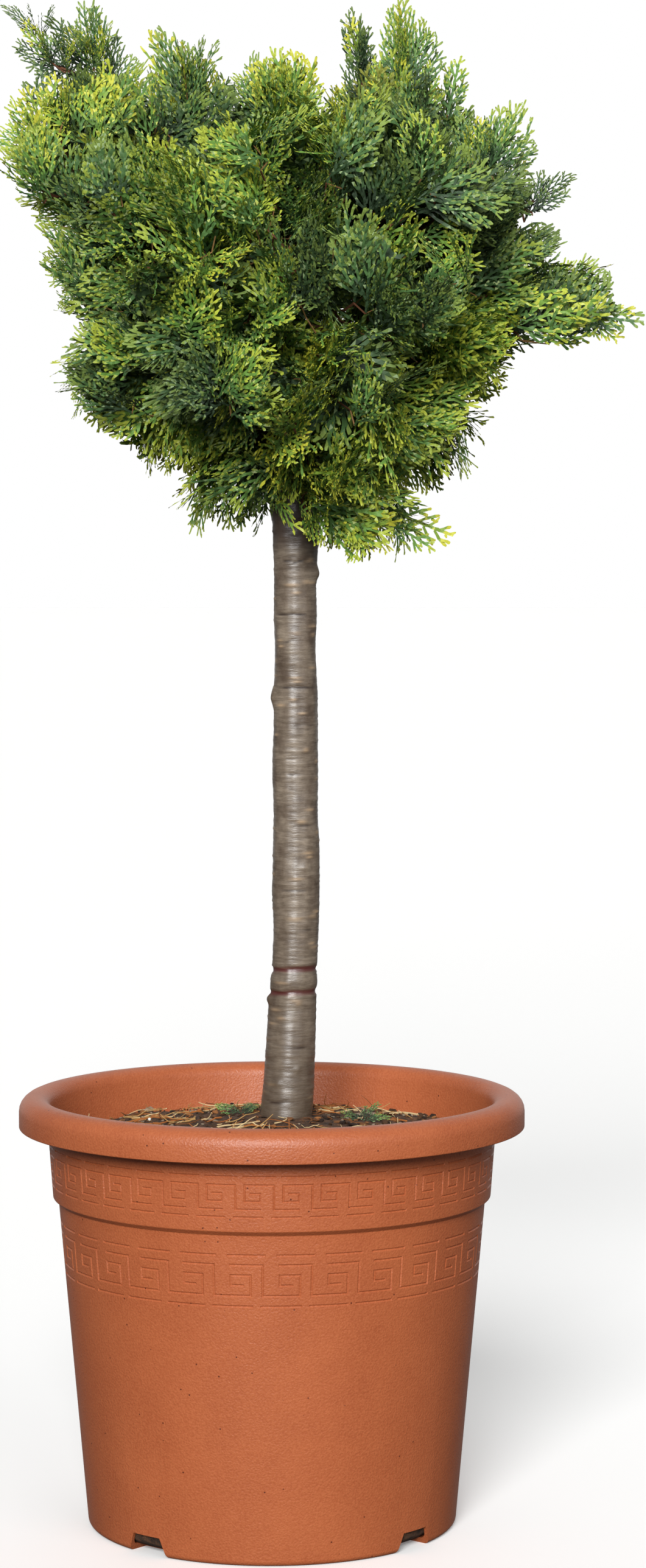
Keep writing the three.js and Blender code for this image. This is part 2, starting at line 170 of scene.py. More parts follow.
# POT
# An injection-moulded polypropylene nursery pot, coloured terracotta right through. Its upper band stands a
# step proud of the tapering body, and its rim rolls over into a skirt that is open below. A running key is
# sunk in both bands, and four drain notches are left in the bottom corner.
POT_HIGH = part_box("pot")[1]
POT_HEIGHT = POT_HIGH.z
RIM_RADIUS = POT_HIGH.x
WALL = 2.2 * MM
FLOOR_THICK = 3 * MM
STEP_BOTTOM = 180.5 * MM
STEP_TOP = 183 * MM
BASE_RADIUS = RIM_RADIUS - 37.4 * MM
BODY_TOP_RADIUS = RIM_RADIUS - 21.8 * MM
BAND_BOTTOM_RADIUS = RIM_RADIUS - 18.7 * MM
BAND_TOP_RADIUS = RIM_RADIUS - 15 * MM
SKIRT = 2 * MM
SKIRT_BOTTOM = POT_HEIGHT - 17.5 * MM
FOOT_ROUNDING = 3.5 * MM
FOOT_TOP = 3 * MM
CHANNEL_TOP = POT_HEIGHT - 6 * MM
RIM_ROLL = 8.5 * MM
TURN_STEPS = 240
ARC_STEPS = 6


def rounded(corners):
    """An outline through (radius, height, rounding) corners, with an arc at each rounded one."""
    points = []
    for i, (x, z, rounding) in enumerate(corners):
        here = np.array((x, z))
        if rounding == 0:
            points.append(here)
            continue
        before = np.array(corners[i - 1][:2]) - here
        after = np.array(corners[i + 1][:2]) - here
        before /= np.linalg.norm(before)
        after /= np.linalg.norm(after)
        half_angle = math.acos(float(np.clip(before @ after, -1, 1))) / 2
        bisector = (before + after) / np.linalg.norm(before + after)
        centre = here + bisector * rounding / math.sin(half_angle)
        start = here + before * rounding / math.tan(half_angle) - centre
        end = here + after * rounding / math.tan(half_angle) - centre
        first = math.atan2(start[1], start[0])
        sweep = (math.atan2(end[1], end[0]) - first + math.pi) % (2 * math.pi) - math.pi
        for k in range(ARC_STEPS + 1):
            angle = first + sweep * k / ARC_STEPS
            points.append(centre + rounding * np.array((math.cos(angle), math.sin(angle))))
    return points


def wall_radius(z):
    """Radius of the pot's outer face at a height below the rim."""
    heights = (FOOT_TOP, STEP_BOTTOM, STEP_TOP, CHANNEL_TOP)
    radii = (BASE_RADIUS, BODY_TOP_RADIUS, BAND_BOTTOM_RADIUS, BAND_TOP_RADIUS)
    return float(np.interp(z, heights, radii))


class Shell:
    """Points and faces of a turned body, gathered ring by ring."""

    def __init__(self):
        self.points = []
        self.faces = []

    def ring(self, radius, z, steps=TURN_STEPS):
        """Adds a level ring and gives its point numbers, in order of angle."""
        first = len(self.points)
        for k in range(steps):
            angle = 2 * math.pi * k / steps
            self.points.append((radius * math.sin(angle), -radius * math.cos(angle), z))
        return list(range(first, first + steps))

    def zip_rings(self, lower, upper):
        """Joins two rings of any number of points with faces, walking round both by angle."""
        def by_angle(ring):
            angles = [math.atan2(self.points[i][0], -self.points[i][1]) % (2 * math.pi) for i in ring]
            order = np.argsort(angles)
            return [ring[k] for k in order], [angles[k] for k in order]
        low, low_angles = by_angle(lower)
        high, high_angles = by_angle(upper)
        if len(low) == len(high):
            for k in range(len(low)):
                following = (k + 1) % len(low)
                self.faces.append((low[k], low[following], high[following], high[k]))
            return
        low_angles.append(low_angles[0] + 2 * math.pi)
        high_angles.append(high_angles[0] + 2 * math.pi)
        i = j = 0
        while i < len(low) or j < len(high):
            go_low = j == len(high) or (i < len(low) and low_angles[i + 1] < high_angles[j + 1])
            here_low, here_high = low[i % len(low)], high[j % len(high)]
            if go_low:
                i += 1
                self.faces.append((here_low, low[i % len(low)], here_high))
            else:
                j += 1
                self.faces.append((here_low, high[j % len(high)], here_high))

    def turned(self, profile, below=None):
        """Rings through a profile, joined to the ring below. Gives the last ring."""
        for radius, z in profile:
            if radius < 1e-6:
                centre = len(self.points)
                self.points.append((0, 0, z))
                if below is None:
                    below = centre
                else:
                    for k in range(len(below)):
                        self.faces.append((below[k], below[(k + 1) % len(below)], centre))
                continue
            here = self.ring(radius, z)
            if isinstance(below, int):
                for k in range(len(here)):
                    self.faces.append((below, here[(k + 1) % len(here)], here[k]))
            elif below is not None:
                self.zip_rings(below, here)
            below = here
        return below


# The key motif as a line, in motif widths from its long upright and in shares of its height from the top,
# and the short dashes above and below it.
KEY_LINE = [
    (-0.60, 0.34), (-0.35, 0.34), (-0.35, 0.665), (-0.757, 0.665), (-0.757, 0), (0, 0), (0, 1), (0.656, 1)]
KEY_DASHES = [[(-0.78, -0.35), (0.03, -0.35)], [(-0.04, 1.32), (0.70, 1.32)]]
KEY_DEPTH = 0.5 * MM
KEY_DRAFT = 0.55 * MM
# For each band: how many motifs, the stretch of wall that holds them, a motif's bottom and top, how far round
# the first one starts, in motifs, the groove's width, and a motif's columns of faces.
LOWER_KEY = {
    "motifs": 28, "low": 138 * MM, "high": 174 * MM, "key_bottom": 148.1 * MM, "key_top": 164.6 * MM,
    "phase": -0.63, "width": 1.45 * MM, "columns": 8, "half_turned": True}
UPPER_KEY = {
    "motifs": 38, "low": 187 * MM, "high": 217 * MM, "key_bottom": 195 * MM, "key_top": 208 * MM,
    "phase": -0.37, "width": 1.3 * MM, "columns": 6, "half_turned": False}
# Points of neighbouring motifs within these of each other, in height and in parts of a turn, are one point.
SEAM = 1e-7
SEAM_PARTS = 1000000
FIT = 2e-6


def groove_outline(line, half_width):
    """The outline of a square-ended groove along a line of level and upright stretches."""
    line = np.array(line, float)
    steps = np.diff(line, axis=0)
    steps /= np.linalg.norm(steps, axis=1)[:, None]
    line[0] -= steps[0] * half_width
    line[-1] += steps[-1] * half_width
    sides = np.stack([-steps[:, 1], steps[:, 0]], axis=1)
    offsets = [sides[0]] + [sides[k] + sides[k + 1] for k in range(len(sides) - 1)] + [sides[-1]]
    left = [line[k] + offsets[k] * half_width for k in range(len(line))]
    right = [line[k] - offsets[k] * half_width for k in range(len(line))]
    return left + right[::-1]


def key_band(shell, motifs, low, high, key_bottom, key_top, phase, width, columns, half_turned):
    """A stretch of the pot's wall with a running key sunk in it. Gives its lowest and highest rings."""
    pitch = 2 * math.pi * wall_radius((key_top + key_bottom) / 2) / motifs
    lines = []
    for motif in (-1, 0, 1):
        for line in [KEY_LINE] + KEY_DASHES:
            placed = []
            for across, down in line:
                if half_turned:
                    across, down = -across, 1 - down
                placed.append(((motif + across + 0.5) * pitch, key_top + (key_bottom - key_top) * down))
            lines.append(placed)
    points, edges = [], []

    def add_loop(loop, closed=True):
        first = len(points)
        points.extend(Vector(p) for p in loop)
        count = len(loop)
        edges.extend((first + k, first + (k + 1) % count) for k in range(count if closed else count - 1))

    for line in lines:
        add_loop(groove_outline(line, width / 2))
        add_loop(groove_outline(line, width / 2 - KEY_DRAFT))
    for k in range(columns + 1):
        add_loop([(pitch * k / columns, low), (pitch * k / columns, high)], closed=False)
    add_loop([(-3 * pitch, low), (4 * pitch, low)], closed=False)
    add_loop([(-3 * pitch, high), (4 * pitch, high)], closed=False)
    flat, _, faces, _, _, _ = geometry.delaunay_2d_cdt(points, edges, [], 0, SEAM)
    flat = np.array([tuple(p) for p in flat])
    centres = np.array([flat[list(face)].mean(axis=0) for face in faces])
    inside = (centres[:, 0] > 0) & (centres[:, 0] < pitch) & (centres[:, 1] > low) & (centres[:, 1] < high)
    kept = [faces[k] for k in np.flatnonzero(inside)]
    deep = np.zeros(len(flat), bool)
    reach = width / 2 - KEY_DRAFT + FIT
    for line in lines:
        for a, b in zip(line[:-1], line[1:]):
            corner_low = np.minimum(a, b) - reach
            corner_high = np.maximum(a, b) + reach
            deep |= ((flat >= corner_low) & (flat <= corner_high)).all(axis=1)
    shared = {}
    for motif in range(motifs):
        numbers = {}
        for number in sorted({i for face in kept for i in face}):
            s, z = flat[number]
            turn = (motif + s / pitch) / motifs % 1.0
            place = (round(turn * SEAM_PARTS) % SEAM_PARTS, round(z / SEAM))
            if place not in shared:
                radius = wall_radius(z) - (KEY_DEPTH if deep[number] else 0)
                angle = 2 * math.pi * (turn + phase / motifs)
                shared[place] = len(shell.points)
                shell.points.append((radius * math.sin(angle), -radius * math.cos(angle), z))
            numbers[number] = shared[place]
        for a, b, c in kept:
            shell.faces.append((numbers[a], numbers[b], numbers[c]))
    return tuple([shared[p] for p in sorted(shared) if p[1] == round(z / SEAM)] for z in (low, high))


def mesh_object(name, points, faces, smooth_below=None):
    """A mesh object. With an angle, it is shaded smooth apart from edges sharper than that."""
    data = bpy.data.meshes.new(name)
    data.from_pydata([tuple(p) for p in points], [], faces)
    data.update()
    if smooth_below is not None:
        data.shade_smooth()
        data.set_sharp_from_angle(angle=math.radians(smooth_below))
    return put_in_scene(name, data)


# The wall runs plain for a millimetre past each band of ornament before its next corner.
pot_shell = Shell()
under_lower, over_lower = LOWER_KEY["low"] - MM, LOWER_KEY["high"] + MM
under_upper, over_upper = UPPER_KEY["low"] - MM, UPPER_KEY["high"] + MM
outside_low = rounded([
    (0, 0, 0),
    (BASE_RADIUS - 0.4 * MM, 0, FOOT_ROUNDING),
    (wall_radius(under_lower), under_lower, 0),
])
ring = pot_shell.turned(outside_low)
band_low, band_high = key_band(pot_shell, **LOWER_KEY)
pot_shell.zip_rings(ring, band_low)
step = rounded([
    (wall_radius(over_lower), over_lower, 0),
    (BODY_TOP_RADIUS, STEP_BOTTOM, 0.8 * MM),
    (BAND_BOTTOM_RADIUS, STEP_TOP, 1.0 * MM),
    (wall_radius(under_upper), under_upper, 0),
])
ring = pot_shell.turned(step, band_high)
band_low, band_high = key_band(pot_shell, **UPPER_KEY)
pot_shell.zip_rings(ring, band_low)
rim_and_inside = rounded([
    (wall_radius(over_upper), over_upper, 0),
    (BAND_TOP_RADIUS, CHANNEL_TOP, 1.5 * MM),
    (RIM_RADIUS - SKIRT, CHANNEL_TOP, 1.5 * MM),
    (RIM_RADIUS - SKIRT, SKIRT_BOTTOM, 0.7 * MM),
    (RIM_RADIUS, SKIRT_BOTTOM, 0.7 * MM),
    (RIM_RADIUS, POT_HEIGHT, RIM_ROLL),
    (BAND_TOP_RADIUS - WALL, POT_HEIGHT, 7.5 * MM),
    (BAND_BOTTOM_RADIUS - WALL, STEP_TOP + 1 * MM, 1 * MM),
    (BODY_TOP_RADIUS - WALL, STEP_BOTTOM, 1 * MM),
    (BASE_RADIUS - WALL, FLOOR_THICK, 4 * MM),
    (0, FLOOR_THICK, 0),
])
pot_shell.turned(rim_and_inside, band_high)
pot = mesh_object("pot_shell", pot_shell.points, pot_shell.faces)

# Drain notches, wider at the bottom, cut through wall and floor.
NOTCHES = 4
NOTCH_TURN = math.radians(49.5)
NOTCH_HALF_BOTTOM = 14 * MM
NOTCH_HALF_TOP = 9.5 * MM
NOTCH_HEIGHT = 10.8 * MM
NOTCH_RADII = (RIM_RADIUS - 52 * MM, RIM_RADIUS - 28 * MM)
cutter_points, cutter_faces = [], []
for k in range(NOTCHES):
    turn = NOTCH_TURN + 2 * math.pi * k / NOTCHES
    first = len(cutter_points)
    for depth in NOTCH_RADII:
        for across, z in ((-NOTCH_HALF_BOTTOM, -MM), (NOTCH_HALF_BOTTOM, -MM),
                          (NOTCH_HALF_TOP, NOTCH_HEIGHT), (-NOTCH_HALF_TOP, NOTCH_HEIGHT)):
            x = across * math.cos(turn) + depth * math.sin(turn)
            y = across * math.sin(turn) - depth * math.cos(turn)
            cutter_points.append((x, y, z))
    for face in ((3, 2, 1, 0), (4, 5, 6, 7), (0, 1, 5, 4), (1, 2, 6, 5), (2, 3, 7, 6), (3, 0, 4, 7)):
        cutter_faces.append(tuple(first + i for i in face))
cutter = mesh_object("notch_cutter", cutter_points, cutter_faces)
cut = pot.modifiers.new("notches", "BOOLEAN")
cut.object = cutter
cut.operation = "DIFFERENCE"
cut.solver = "EXACT"
cut_mesh = bpy.data.meshes.new_from_object(pot.evaluated_get(bpy.context.evaluated_depsgraph_get()))
pot.modifiers.clear()
pot.data = cut_mesh
bpy.data.objects.remove(cutter)
cut_mesh.shade_smooth()
cut_mesh.set_sharp_from_angle(angle=math.radians(28))

# Polypropylene from a spark-eroded mould: satin, with a fine pebbled grain that breaks up the highlight,
# a little clouding in the colour, a painted sheen on the grain's raised tops, and a few dark specks from the
# recycled resin.
PEBBLE = 1.1 * MM
CLOUD = 35 * MM
SPECK = 9 * MM
polypropylene, tree, shader = new_material(
    "polypropylene_spark_eroded_terracotta", {"Roughness": 0.42, "IOR": 1.49})
place = add_node(tree, "ShaderNodeTexCoord")
cloud = add_node(
    tree, "ShaderNodeTexNoise", {"Scale": 1 / CLOUD, "Detail": 5, "Roughness": 0.6},
    {"Vector": place.outputs["Object"]})
cloud_colour = add_node(
    tree, "ShaderNodeValToRGB", links={"Fac": cloud.outputs["Fac"]},
    stops=((0.3, "#9f512e"), (0.7, "#ab5b35")))
pebble = add_node(
    tree, "ShaderNodeTexNoise", {"Scale": 1 / PEBBLE, "Detail": 2, "Roughness": 0.55},
    {"Vector": place.outputs["Object"]})
# Painted sheen: where the pebbled grain stands up, its colour is lighter, as if it caught the light.
pebble_sheen_tone = add_node(
    tree, "ShaderNodeMapRange", {"From Min": 0.34, "From Max": 0.66, "To Min": 0.0, "To Max": 0.36},
    {"Value": pebble.outputs["Fac"]})
clouded_with_sheen = add_node(
    tree, "ShaderNodeMixRGB", {"Color2": colour("#c27147")},
    {"Fac": pebble_sheen_tone.outputs["Result"], "Color1": cloud_colour.outputs["Color"]})
speck = add_node(
    tree, "ShaderNodeTexVoronoi", {"Scale": 1 / SPECK}, {"Vector": place.outputs["Object"]})
speck_mask = add_node(
    tree, "ShaderNodeMapRange", {"From Min": 0.045, "From Max": 0.06, "To Min": 1.0, "To Max": 0.0},
    {"Value": speck.outputs["Distance"]})
specked = add_node(
    tree, "ShaderNodeMixRGB", {"Color2": colour("#5d2a17")},
    {"Fac": speck_mask.outputs["Result"], "Color1": clouded_with_sheen.outputs["Color"]})
tree.links.new(specked.outputs["Color"], shader.inputs["Base Color"])
relief = add_node(
    tree, "ShaderNodeBump", {"Strength": 0.9, "Distance": 0.32 * MM}, {"Height": pebble.outputs["Fac"]})
tree.links.new(relief.outputs["Normal"], shader.inputs["Normal"])
cut_mesh.materials.clear()
cut_mesh.materials.append(polypropylene)
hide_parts("pot")
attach(pot, "root")


# COMPOST
# Peat and fine bark, watered down and mounded a little towards the stem. It fills the pot to two fingers'
# width below the rim, and bark crumbs, dead straws and shed sprigs lie on it.
TRUNK_LOW, TRUNK_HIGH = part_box("trunk")
STEM_X = (TRUNK_LOW.x + TRUNK_HIGH.x) / 2
SOIL_EDGE = 213 * MM
SOIL_MOUND = 15 * MM
SOIL_LUMPS = [(1.6 * MM, 26 * MM, 1), (1.0 * MM, 9 * MM, 2), (0.7 * MM, 3.5 * MM, 3)]
SOIL_GAP = 0.4 * MM
SOIL_RINGS = 58
SOIL_STEPS = 170


def lattice(ix, iy, iz, seed):
    """A repeatable random number from 0 to 1 at each corner of a lattice."""
    mixed = (ix * 73856093) ^ (iy * 19349663) ^ (iz * 83492791) ^ (seed * 2654435761)
    mixed = (mixed ^ (mixed >> 13)) * 1274126177 & 0x7FFFFFFF
    mixed = (mixed ^ (mixed >> 16)) * 1103515245 & 0x7FFFFFFF
    return ((mixed >> 7) & 0xFFFF) / 65535.0


def noise(points, size, seed):
    """Smooth noise from -1 to 1 at an array of points. Size is one length, or one along each axis."""
    scaled = np.asarray(points, float) / np.asarray(size, float)
    cell = np.floor(scaled).astype(np.int64)
    part = scaled - cell
    part = part * part * (3 - 2 * part)
    total = 0.0
    for dx in (0, 1):
        for dy in (0, 1):
            for dz in (0, 1):
                corner = np.array((dx, dy, dz))
                weight = np.abs(1 - corner - part).prod(axis=-1)
                total = total + weight * lattice(*np.moveaxis(cell + corner, -1, 0), seed)
    return total * 2 - 1


def soil_height(x, y):
    """Height of the compost's surface at an array of places."""
    reach = np.hypot(x, y) / (BAND_BOTTOM_RADIUS - WALL)
    flat = np.stack([x, y, np.zeros_like(x)], axis=-1)
    mound = np.clip(1 - reach, 0, 1) ** 0.8
    rough = sum(height * noise(flat, size, seed) for height, size, seed in SOIL_LUMPS)
    return SOIL_EDGE + SOIL_MOUND * mound + rough


def ring_faces(rings, steps, first=0):
    """Faces between rings of points that lie one after another, with as many points in each."""
    faces = []
    for i in range(rings - 1):
        for j in range(steps):
            a, b = first + i * steps + j, first + i * steps + (j + 1) % steps
            faces.append((a, b, b + steps, a + steps))
    return faces


soil_points = [(0, 0, FLOOR_THICK + SOIL_GAP)]
side_rings = [(BASE_RADIUS - WALL - 4 * MM, FLOOR_THICK + SOIL_GAP)]
for z in (7 * MM, 60 * MM, 120 * MM, STEP_BOTTOM - 2 * MM):
    side_rings.append((wall_radius(z) - WALL - SOIL_GAP, z))
side_rings.append((wall_radius(STEP_TOP + 2 * MM) - WALL - SOIL_GAP, STEP_TOP + 2 * MM))
top_radius = wall_radius(SOIL_EDGE) - WALL - SOIL_GAP
turns = np.arange(SOIL_STEPS) * 2 * math.pi / SOIL_STEPS
for radius, z in side_rings:
    soil_points.extend((radius * math.cos(t), radius * math.sin(t), z) for t in turns)
for k in range(SOIL_RINGS):
    radius = top_radius * (1 - k / SOIL_RINGS)
    x, y = radius * np.cos(turns), radius * np.sin(turns)
    soil_points.extend(zip(x, y, soil_height(x, y)))
rings_in_all = len(side_rings) + SOIL_RINGS
soil_faces = ring_faces(rings_in_all, SOIL_STEPS, 1)
top_centre = len(soil_points)
soil_points.append((0, 0, float(soil_height(np.zeros(1), np.zeros(1))[0])))
last = top_centre - SOIL_STEPS
for j in range(SOIL_STEPS):
    following = (j + 1) % SOIL_STEPS
    soil_faces.append((0, 1 + following, 1 + j))
    soil_faces.append((last + j, last + following, top_centre))
compost = mesh_object("compost", soil_points, soil_faces, 60)

# Moist peat with bark dust: near black where it is wet, rust brown where it has dried.
PEAT_LUMP = 5 * MM
PEAT_FIBRE = 1.4 * MM
peat, tree, shader = new_material("peat_compost_moist", {"Roughness": 0.95})
place = add_node(tree, "ShaderNodeTexCoord")
lumps = add_node(
    tree, "ShaderNodeTexNoise", {"Scale": 1 / PEAT_LUMP, "Detail": 6, "Roughness": 0.7},
    {"Vector": place.outputs["Object"]})
peat_colour = add_node(
    tree, "ShaderNodeValToRGB", links={"Fac": lumps.outputs["Fac"]},
    stops=((0.36, "#1f1610"), (0.68, "#6d4a30")))
fibre = add_node(
    tree, "ShaderNodeTexNoise", {"Scale": 1 / PEAT_FIBRE, "Detail": 3, "Roughness": 0.8},
    {"Vector": place.outputs["Object"]})
relief = add_node(
    tree, "ShaderNodeBump", {"Strength": 0.9, "Distance": 0.8 * MM}, {"Height": fibre.outputs["Fac"]})
tree.links.new(peat_colour.outputs["Color"], shader.inputs["Base Color"])
tree.links.new(relief.outputs["Normal"], shader.inputs["Normal"])
compost.data.materials.append(peat)
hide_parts("soil")
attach(compost, "root")


# BARK CRUMBS
# Chips of composted pine bark, 3 to 9 mm, flat and angular, strewn over the peat and thickest round the stem.
def random_for(seed):
    return np.random.default_rng(seed)


def unit(v):
    v = np.asarray(v, float)
    return v / np.maximum(np.linalg.norm(v, axis=-1, keepdims=True), 1e-12)


def turn_matrix(axis, angle):
    """The rotation matrix for a turn about an axis."""
    x, y, z = unit(axis)
    c, s = math.cos(angle), math.sin(angle)
    cross = np.array([[0, -z, y], [z, 0, -x], [-y, x, 0]])
    return np.eye(3) + s * cross + (1 - c) * cross @ cross


def plain_material(name, code, roughness):
    """One plain finish, for small pieces that are told apart by their colours."""
    values = {"Base Color": colour(code), "Roughness": roughness, "Specular IOR Level": 0.3}
    return new_material(name, values)[0]


class Heap:
    """Many small meshes gathered into one object, each face with its material's number."""

    def __init__(self):
        self.points, self.faces, self.finishes, self.count = [], [], [], 0

    def add(self, points, faces, finish):
        self.points.append(np.asarray(points, float))
        self.faces.extend(tuple(i + self.count for i in face) for face in faces)
        self.finishes.append(np.broadcast_to(np.asarray(finish), len(faces)))
        self.count += len(points)

    def object(self, name, materials, smooth=False):
        data = bpy.data.meshes.new(name)
        data.from_pydata(np.concatenate(self.points).tolist(), [], self.faces)
        for material in materials:
            data.materials.append(material)
        data.polygons.foreach_set("material_index", np.concatenate(self.finishes).astype(np.int32))
        if smooth:
            data.shade_smooth()
        data.update()
        return put_in_scene(name, data)


GOLDEN = (1 + 5 ** 0.5) / 2
ICO_POINTS = unit([
    (-1, GOLDEN, 0), (1, GOLDEN, 0), (-1, -GOLDEN, 0), (1, -GOLDEN, 0), (0, -1, GOLDEN), (0, 1, GOLDEN),
    (0, -1, -GOLDEN), (0, 1, -GOLDEN), (GOLDEN, 0, -1), (GOLDEN, 0, 1), (-GOLDEN, 0, -1), (-GOLDEN, 0, 1)])
ICO_FACES = [
    (0, 11, 5), (0, 5, 1), (0, 1, 7), (0, 7, 10), (0, 10, 11), (1, 5, 9), (5, 11, 4), (11, 10, 2), (10, 7, 6),
    (7, 1, 8), (3, 9, 4), (3, 4, 2), (3, 2, 6), (3, 6, 8), (3, 8, 9), (4, 9, 5), (2, 4, 11), (6, 2, 10),
    (8, 6, 7), (9, 8, 1)]
CRUMBS = 900
CRUMB_SIZES = (2.5 * MM, 8 * MM)
crumb_random = random_for(11)
crumbs = Heap()
for k in range(CRUMBS):
    turn = crumb_random.uniform(0, 2 * math.pi)
    reach = 17 * MM + (top_radius - 21 * MM) * crumb_random.uniform(0, 1) ** 0.75
    size = CRUMB_SIZES[0] + (CRUMB_SIZES[1] - CRUMB_SIZES[0]) * crumb_random.uniform(0, 1) ** 2.2
    x, y = STEM_X * (1 - reach / top_radius) + reach * math.cos(turn), reach * math.sin(turn)
    shape = ICO_POINTS * crumb_random.uniform(0.65, 1.2, (12, 1)) * (size / 2)
    shape = shape * (1, crumb_random.uniform(0.4, 0.8), crumb_random.uniform(0.2, 0.5))
    tilt = turn_matrix((math.cos(turn * 7), math.sin(turn * 7), 0), crumb_random.normal(0, 0.35))
    shape = shape @ turn_matrix((0, 0, 1), crumb_random.uniform(0, 6.3)).T @ tilt.T
    z = float(soil_height(np.array([x]), np.array([y]))[0])
    crumbs.add(shape + (x, y, z + size * 0.12), ICO_FACES, crumb_random.integers(0, 5))
BARK_CHIP_TONES = [
    plain_material("pine_bark_chip_black", "#2a1d15", 0.9),
    plain_material("pine_bark_chip_dark", "#46301f", 0.9),
    plain_material("pine_bark_chip_brown", "#6b4629", 0.9),
    plain_material("pine_bark_chip_rust", "#8a5a33", 0.9),
    plain_material("pine_bark_chip_grey", "#8b7b68", 0.9),
]
bark_crumbs = crumbs.object("bark_crumbs", BARK_CHIP_TONES)
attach(bark_crumbs, "root")


# STRAWS AND NEEDLES
# Dead grass stalks and shed needles, pale straw to orange brown. They lie in the compost, and a few ends
# stand up from it.
def tube(path, radii, sides):
    """Points and faces of a tube along a path, pointed or flat at its ends as its radii say."""
    path = np.asarray(path, float)
    ahead = unit(np.gradient(path, axis=0))
    side = unit(np.cross(ahead, (0.13, 0.31, 0.94)))
    up = np.cross(side, ahead)
    angles = np.arange(sides) * 2 * math.pi / sides
    ring_shape = np.cos(angles)[:, None] * side[:, None, :] + np.sin(angles)[:, None] * up[:, None, :]
    points = path[:, None, :] + ring_shape * np.asarray(radii, float)[:, None, None]
    faces = [(a, d, c, b) for a, b, c, d in ring_faces(len(path), sides)]
    faces.append(tuple(range(sides)))
    faces.append(tuple(range(len(path) * sides - 1, (len(path) - 1) * sides - 1, -1)))
    return points.reshape(-1, 3), faces


STRAWS = 260
STRAW_STEPS = 6
RIM_CLEARANCE = 3 * MM
straw_random = random_for(23)
straws = Heap()


def lay_straw(x, y, heading, length, bend, rise, thickness, finish):
    """A straw from a place on the compost, along a heading, curving as it goes, its end lifted."""
    share = np.linspace(0, 1, STRAW_STEPS)
    headings = heading + bend * share
    path_x = x + np.cumsum(np.cos(headings)) * length / STRAW_STEPS
    path_y = y + np.cumsum(np.sin(headings)) * length / STRAW_STEPS
    keep = np.minimum(1, (top_radius - RIM_CLEARANCE) / np.hypot(path_x, path_y))
    path_x, path_y = path_x * keep, path_y * keep
    path_z = soil_height(path_x, path_y) + 1.6 * MM + rise * share ** 2
    radii = thickness / 2 * (1.05 - 0.6 * share)
    straws.add(*tube(np.stack([path_x, path_y, path_z], axis=1), radii, 4), finish)


for k in range(STRAWS):
    turn = straw_random.uniform(0, 2 * math.pi)
    reach = 20 * MM + (top_radius - 26 * MM) * straw_random.uniform(0, 1) ** 0.7
    length = straw_random.uniform(9, 30) * MM
    rise = max(0.0, straw_random.normal(0, 3.2)) * MM
    heading = straw_random.uniform(0, 6.3)
    bend = straw_random.normal(0, 1.2)
    thickness = straw_random.uniform(0.5, 1.1) * MM
    finish = straw_random.integers(0, 4)
    lay_straw(reach * math.cos(turn), reach * math.sin(turn), heading, length, bend, rise, thickness, finish)
# One long straight stalk lies across the left front, just behind the rim.
lay_straw(-64 * MM, -36 * MM, 0.10, 58 * MM, -0.08, 1.5 * MM, 1.2 * MM, 0)
STRAW_TONES = [
    plain_material("grass_straw_pale", "#d3b98a", 0.7),
    plain_material("grass_straw_tan", "#b18a55", 0.7),
    plain_material("dead_needle_orange", "#a3622f", 0.7),
    plain_material("dead_needle_brown", "#6e4526", 0.8),
]
dead_straws = straws.object("dead_straws", STRAW_TONES)
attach(dead_straws, "root")


# STEM
# A cleft-grafted rootstock stem, clear to the crown. Its bark is silver brown and tight like a young
# cherry's, and drawn into level wrinkles, with pale corky pores, two sunken ring scars low down and a swollen
# graft on top.
def stem_stations(node):
    """Heights, axis places and radii of a CAD stem that is made of level rings."""
    co = np.array([v.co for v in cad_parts[node].data.vertices])
    levels = np.unique(np.round(co[:, 2], 5))
    found = []
    for level in levels:
        level_ring = co[np.abs(co[:, 2] - level) < 2e-5]
        middle = (level_ring.min(axis=0) + level_ring.max(axis=0)) / 2
        radius = np.hypot(*(level_ring - middle)[:, :2].T).max()
        if len(level_ring) > 5:
            found.append((level, middle[0], middle[1], radius))
    return np.array(found)


STEM_AROUND = 100
STEM_UP = 350
STATION_BLUR = 7 * MM
stations = stem_stations("trunk")
heights = np.linspace(stations[0, 0] - 3 * MM, stations[-1, 0] + 4 * MM, STEM_UP)


def along_stem(column, z):
    """A station value at an array of heights, smoothed so that no ring shows as a kink."""
    shifts = np.linspace(-STATION_BLUR, STATION_BLUR, 9)
    return np.mean([np.interp(z + s, stations[:, 0], stations[:, column]) for s in shifts], axis=0)


# The bark's relief in mm: level wrinkles, fine ones between them, shallow upright furrows and broad lumps.
angles = np.arange(STEM_AROUND) * 2 * math.pi / STEM_AROUND
ANGLE, HEIGHT = np.meshgrid(angles, heights)
RADIUS = along_stem(3, HEIGHT)
around = np.stack([RADIUS * np.cos(ANGLE), RADIUS * np.sin(ANGLE), HEIGHT], axis=-1)
wrinkle = noise(around, (16 * MM, 16 * MM, 1.5 * MM), 31)
fine_wrinkle = noise(around, (9 * MM, 9 * MM, 0.8 * MM), 32)
furrow = noise(around, (3.2 * MM, 3.2 * MM, 30 * MM), 33)
lump = noise(around, (14 * MM, 14 * MM, 22 * MM), 34)
swell = 0.16 * wrinkle + 0.08 * fine_wrinkle + 0.20 * furrow + 0.55 * lump


def along_bark(angle):
    """How far round the bark each point of the stem lies from an angle, in metres."""
    return ((ANGLE - angle + math.pi) % (2 * math.pi) - math.pi) * RADIUS


def patch(angle, z, half_across, half_tall):
    """A soft spot on the stem, 1 in its middle, at an angle and height, sized in mm."""
    return np.exp(
        -(along_bark(angle) / (half_across * MM)) ** 2 - ((HEIGHT - z * MM) / (half_tall * MM)) ** 2)


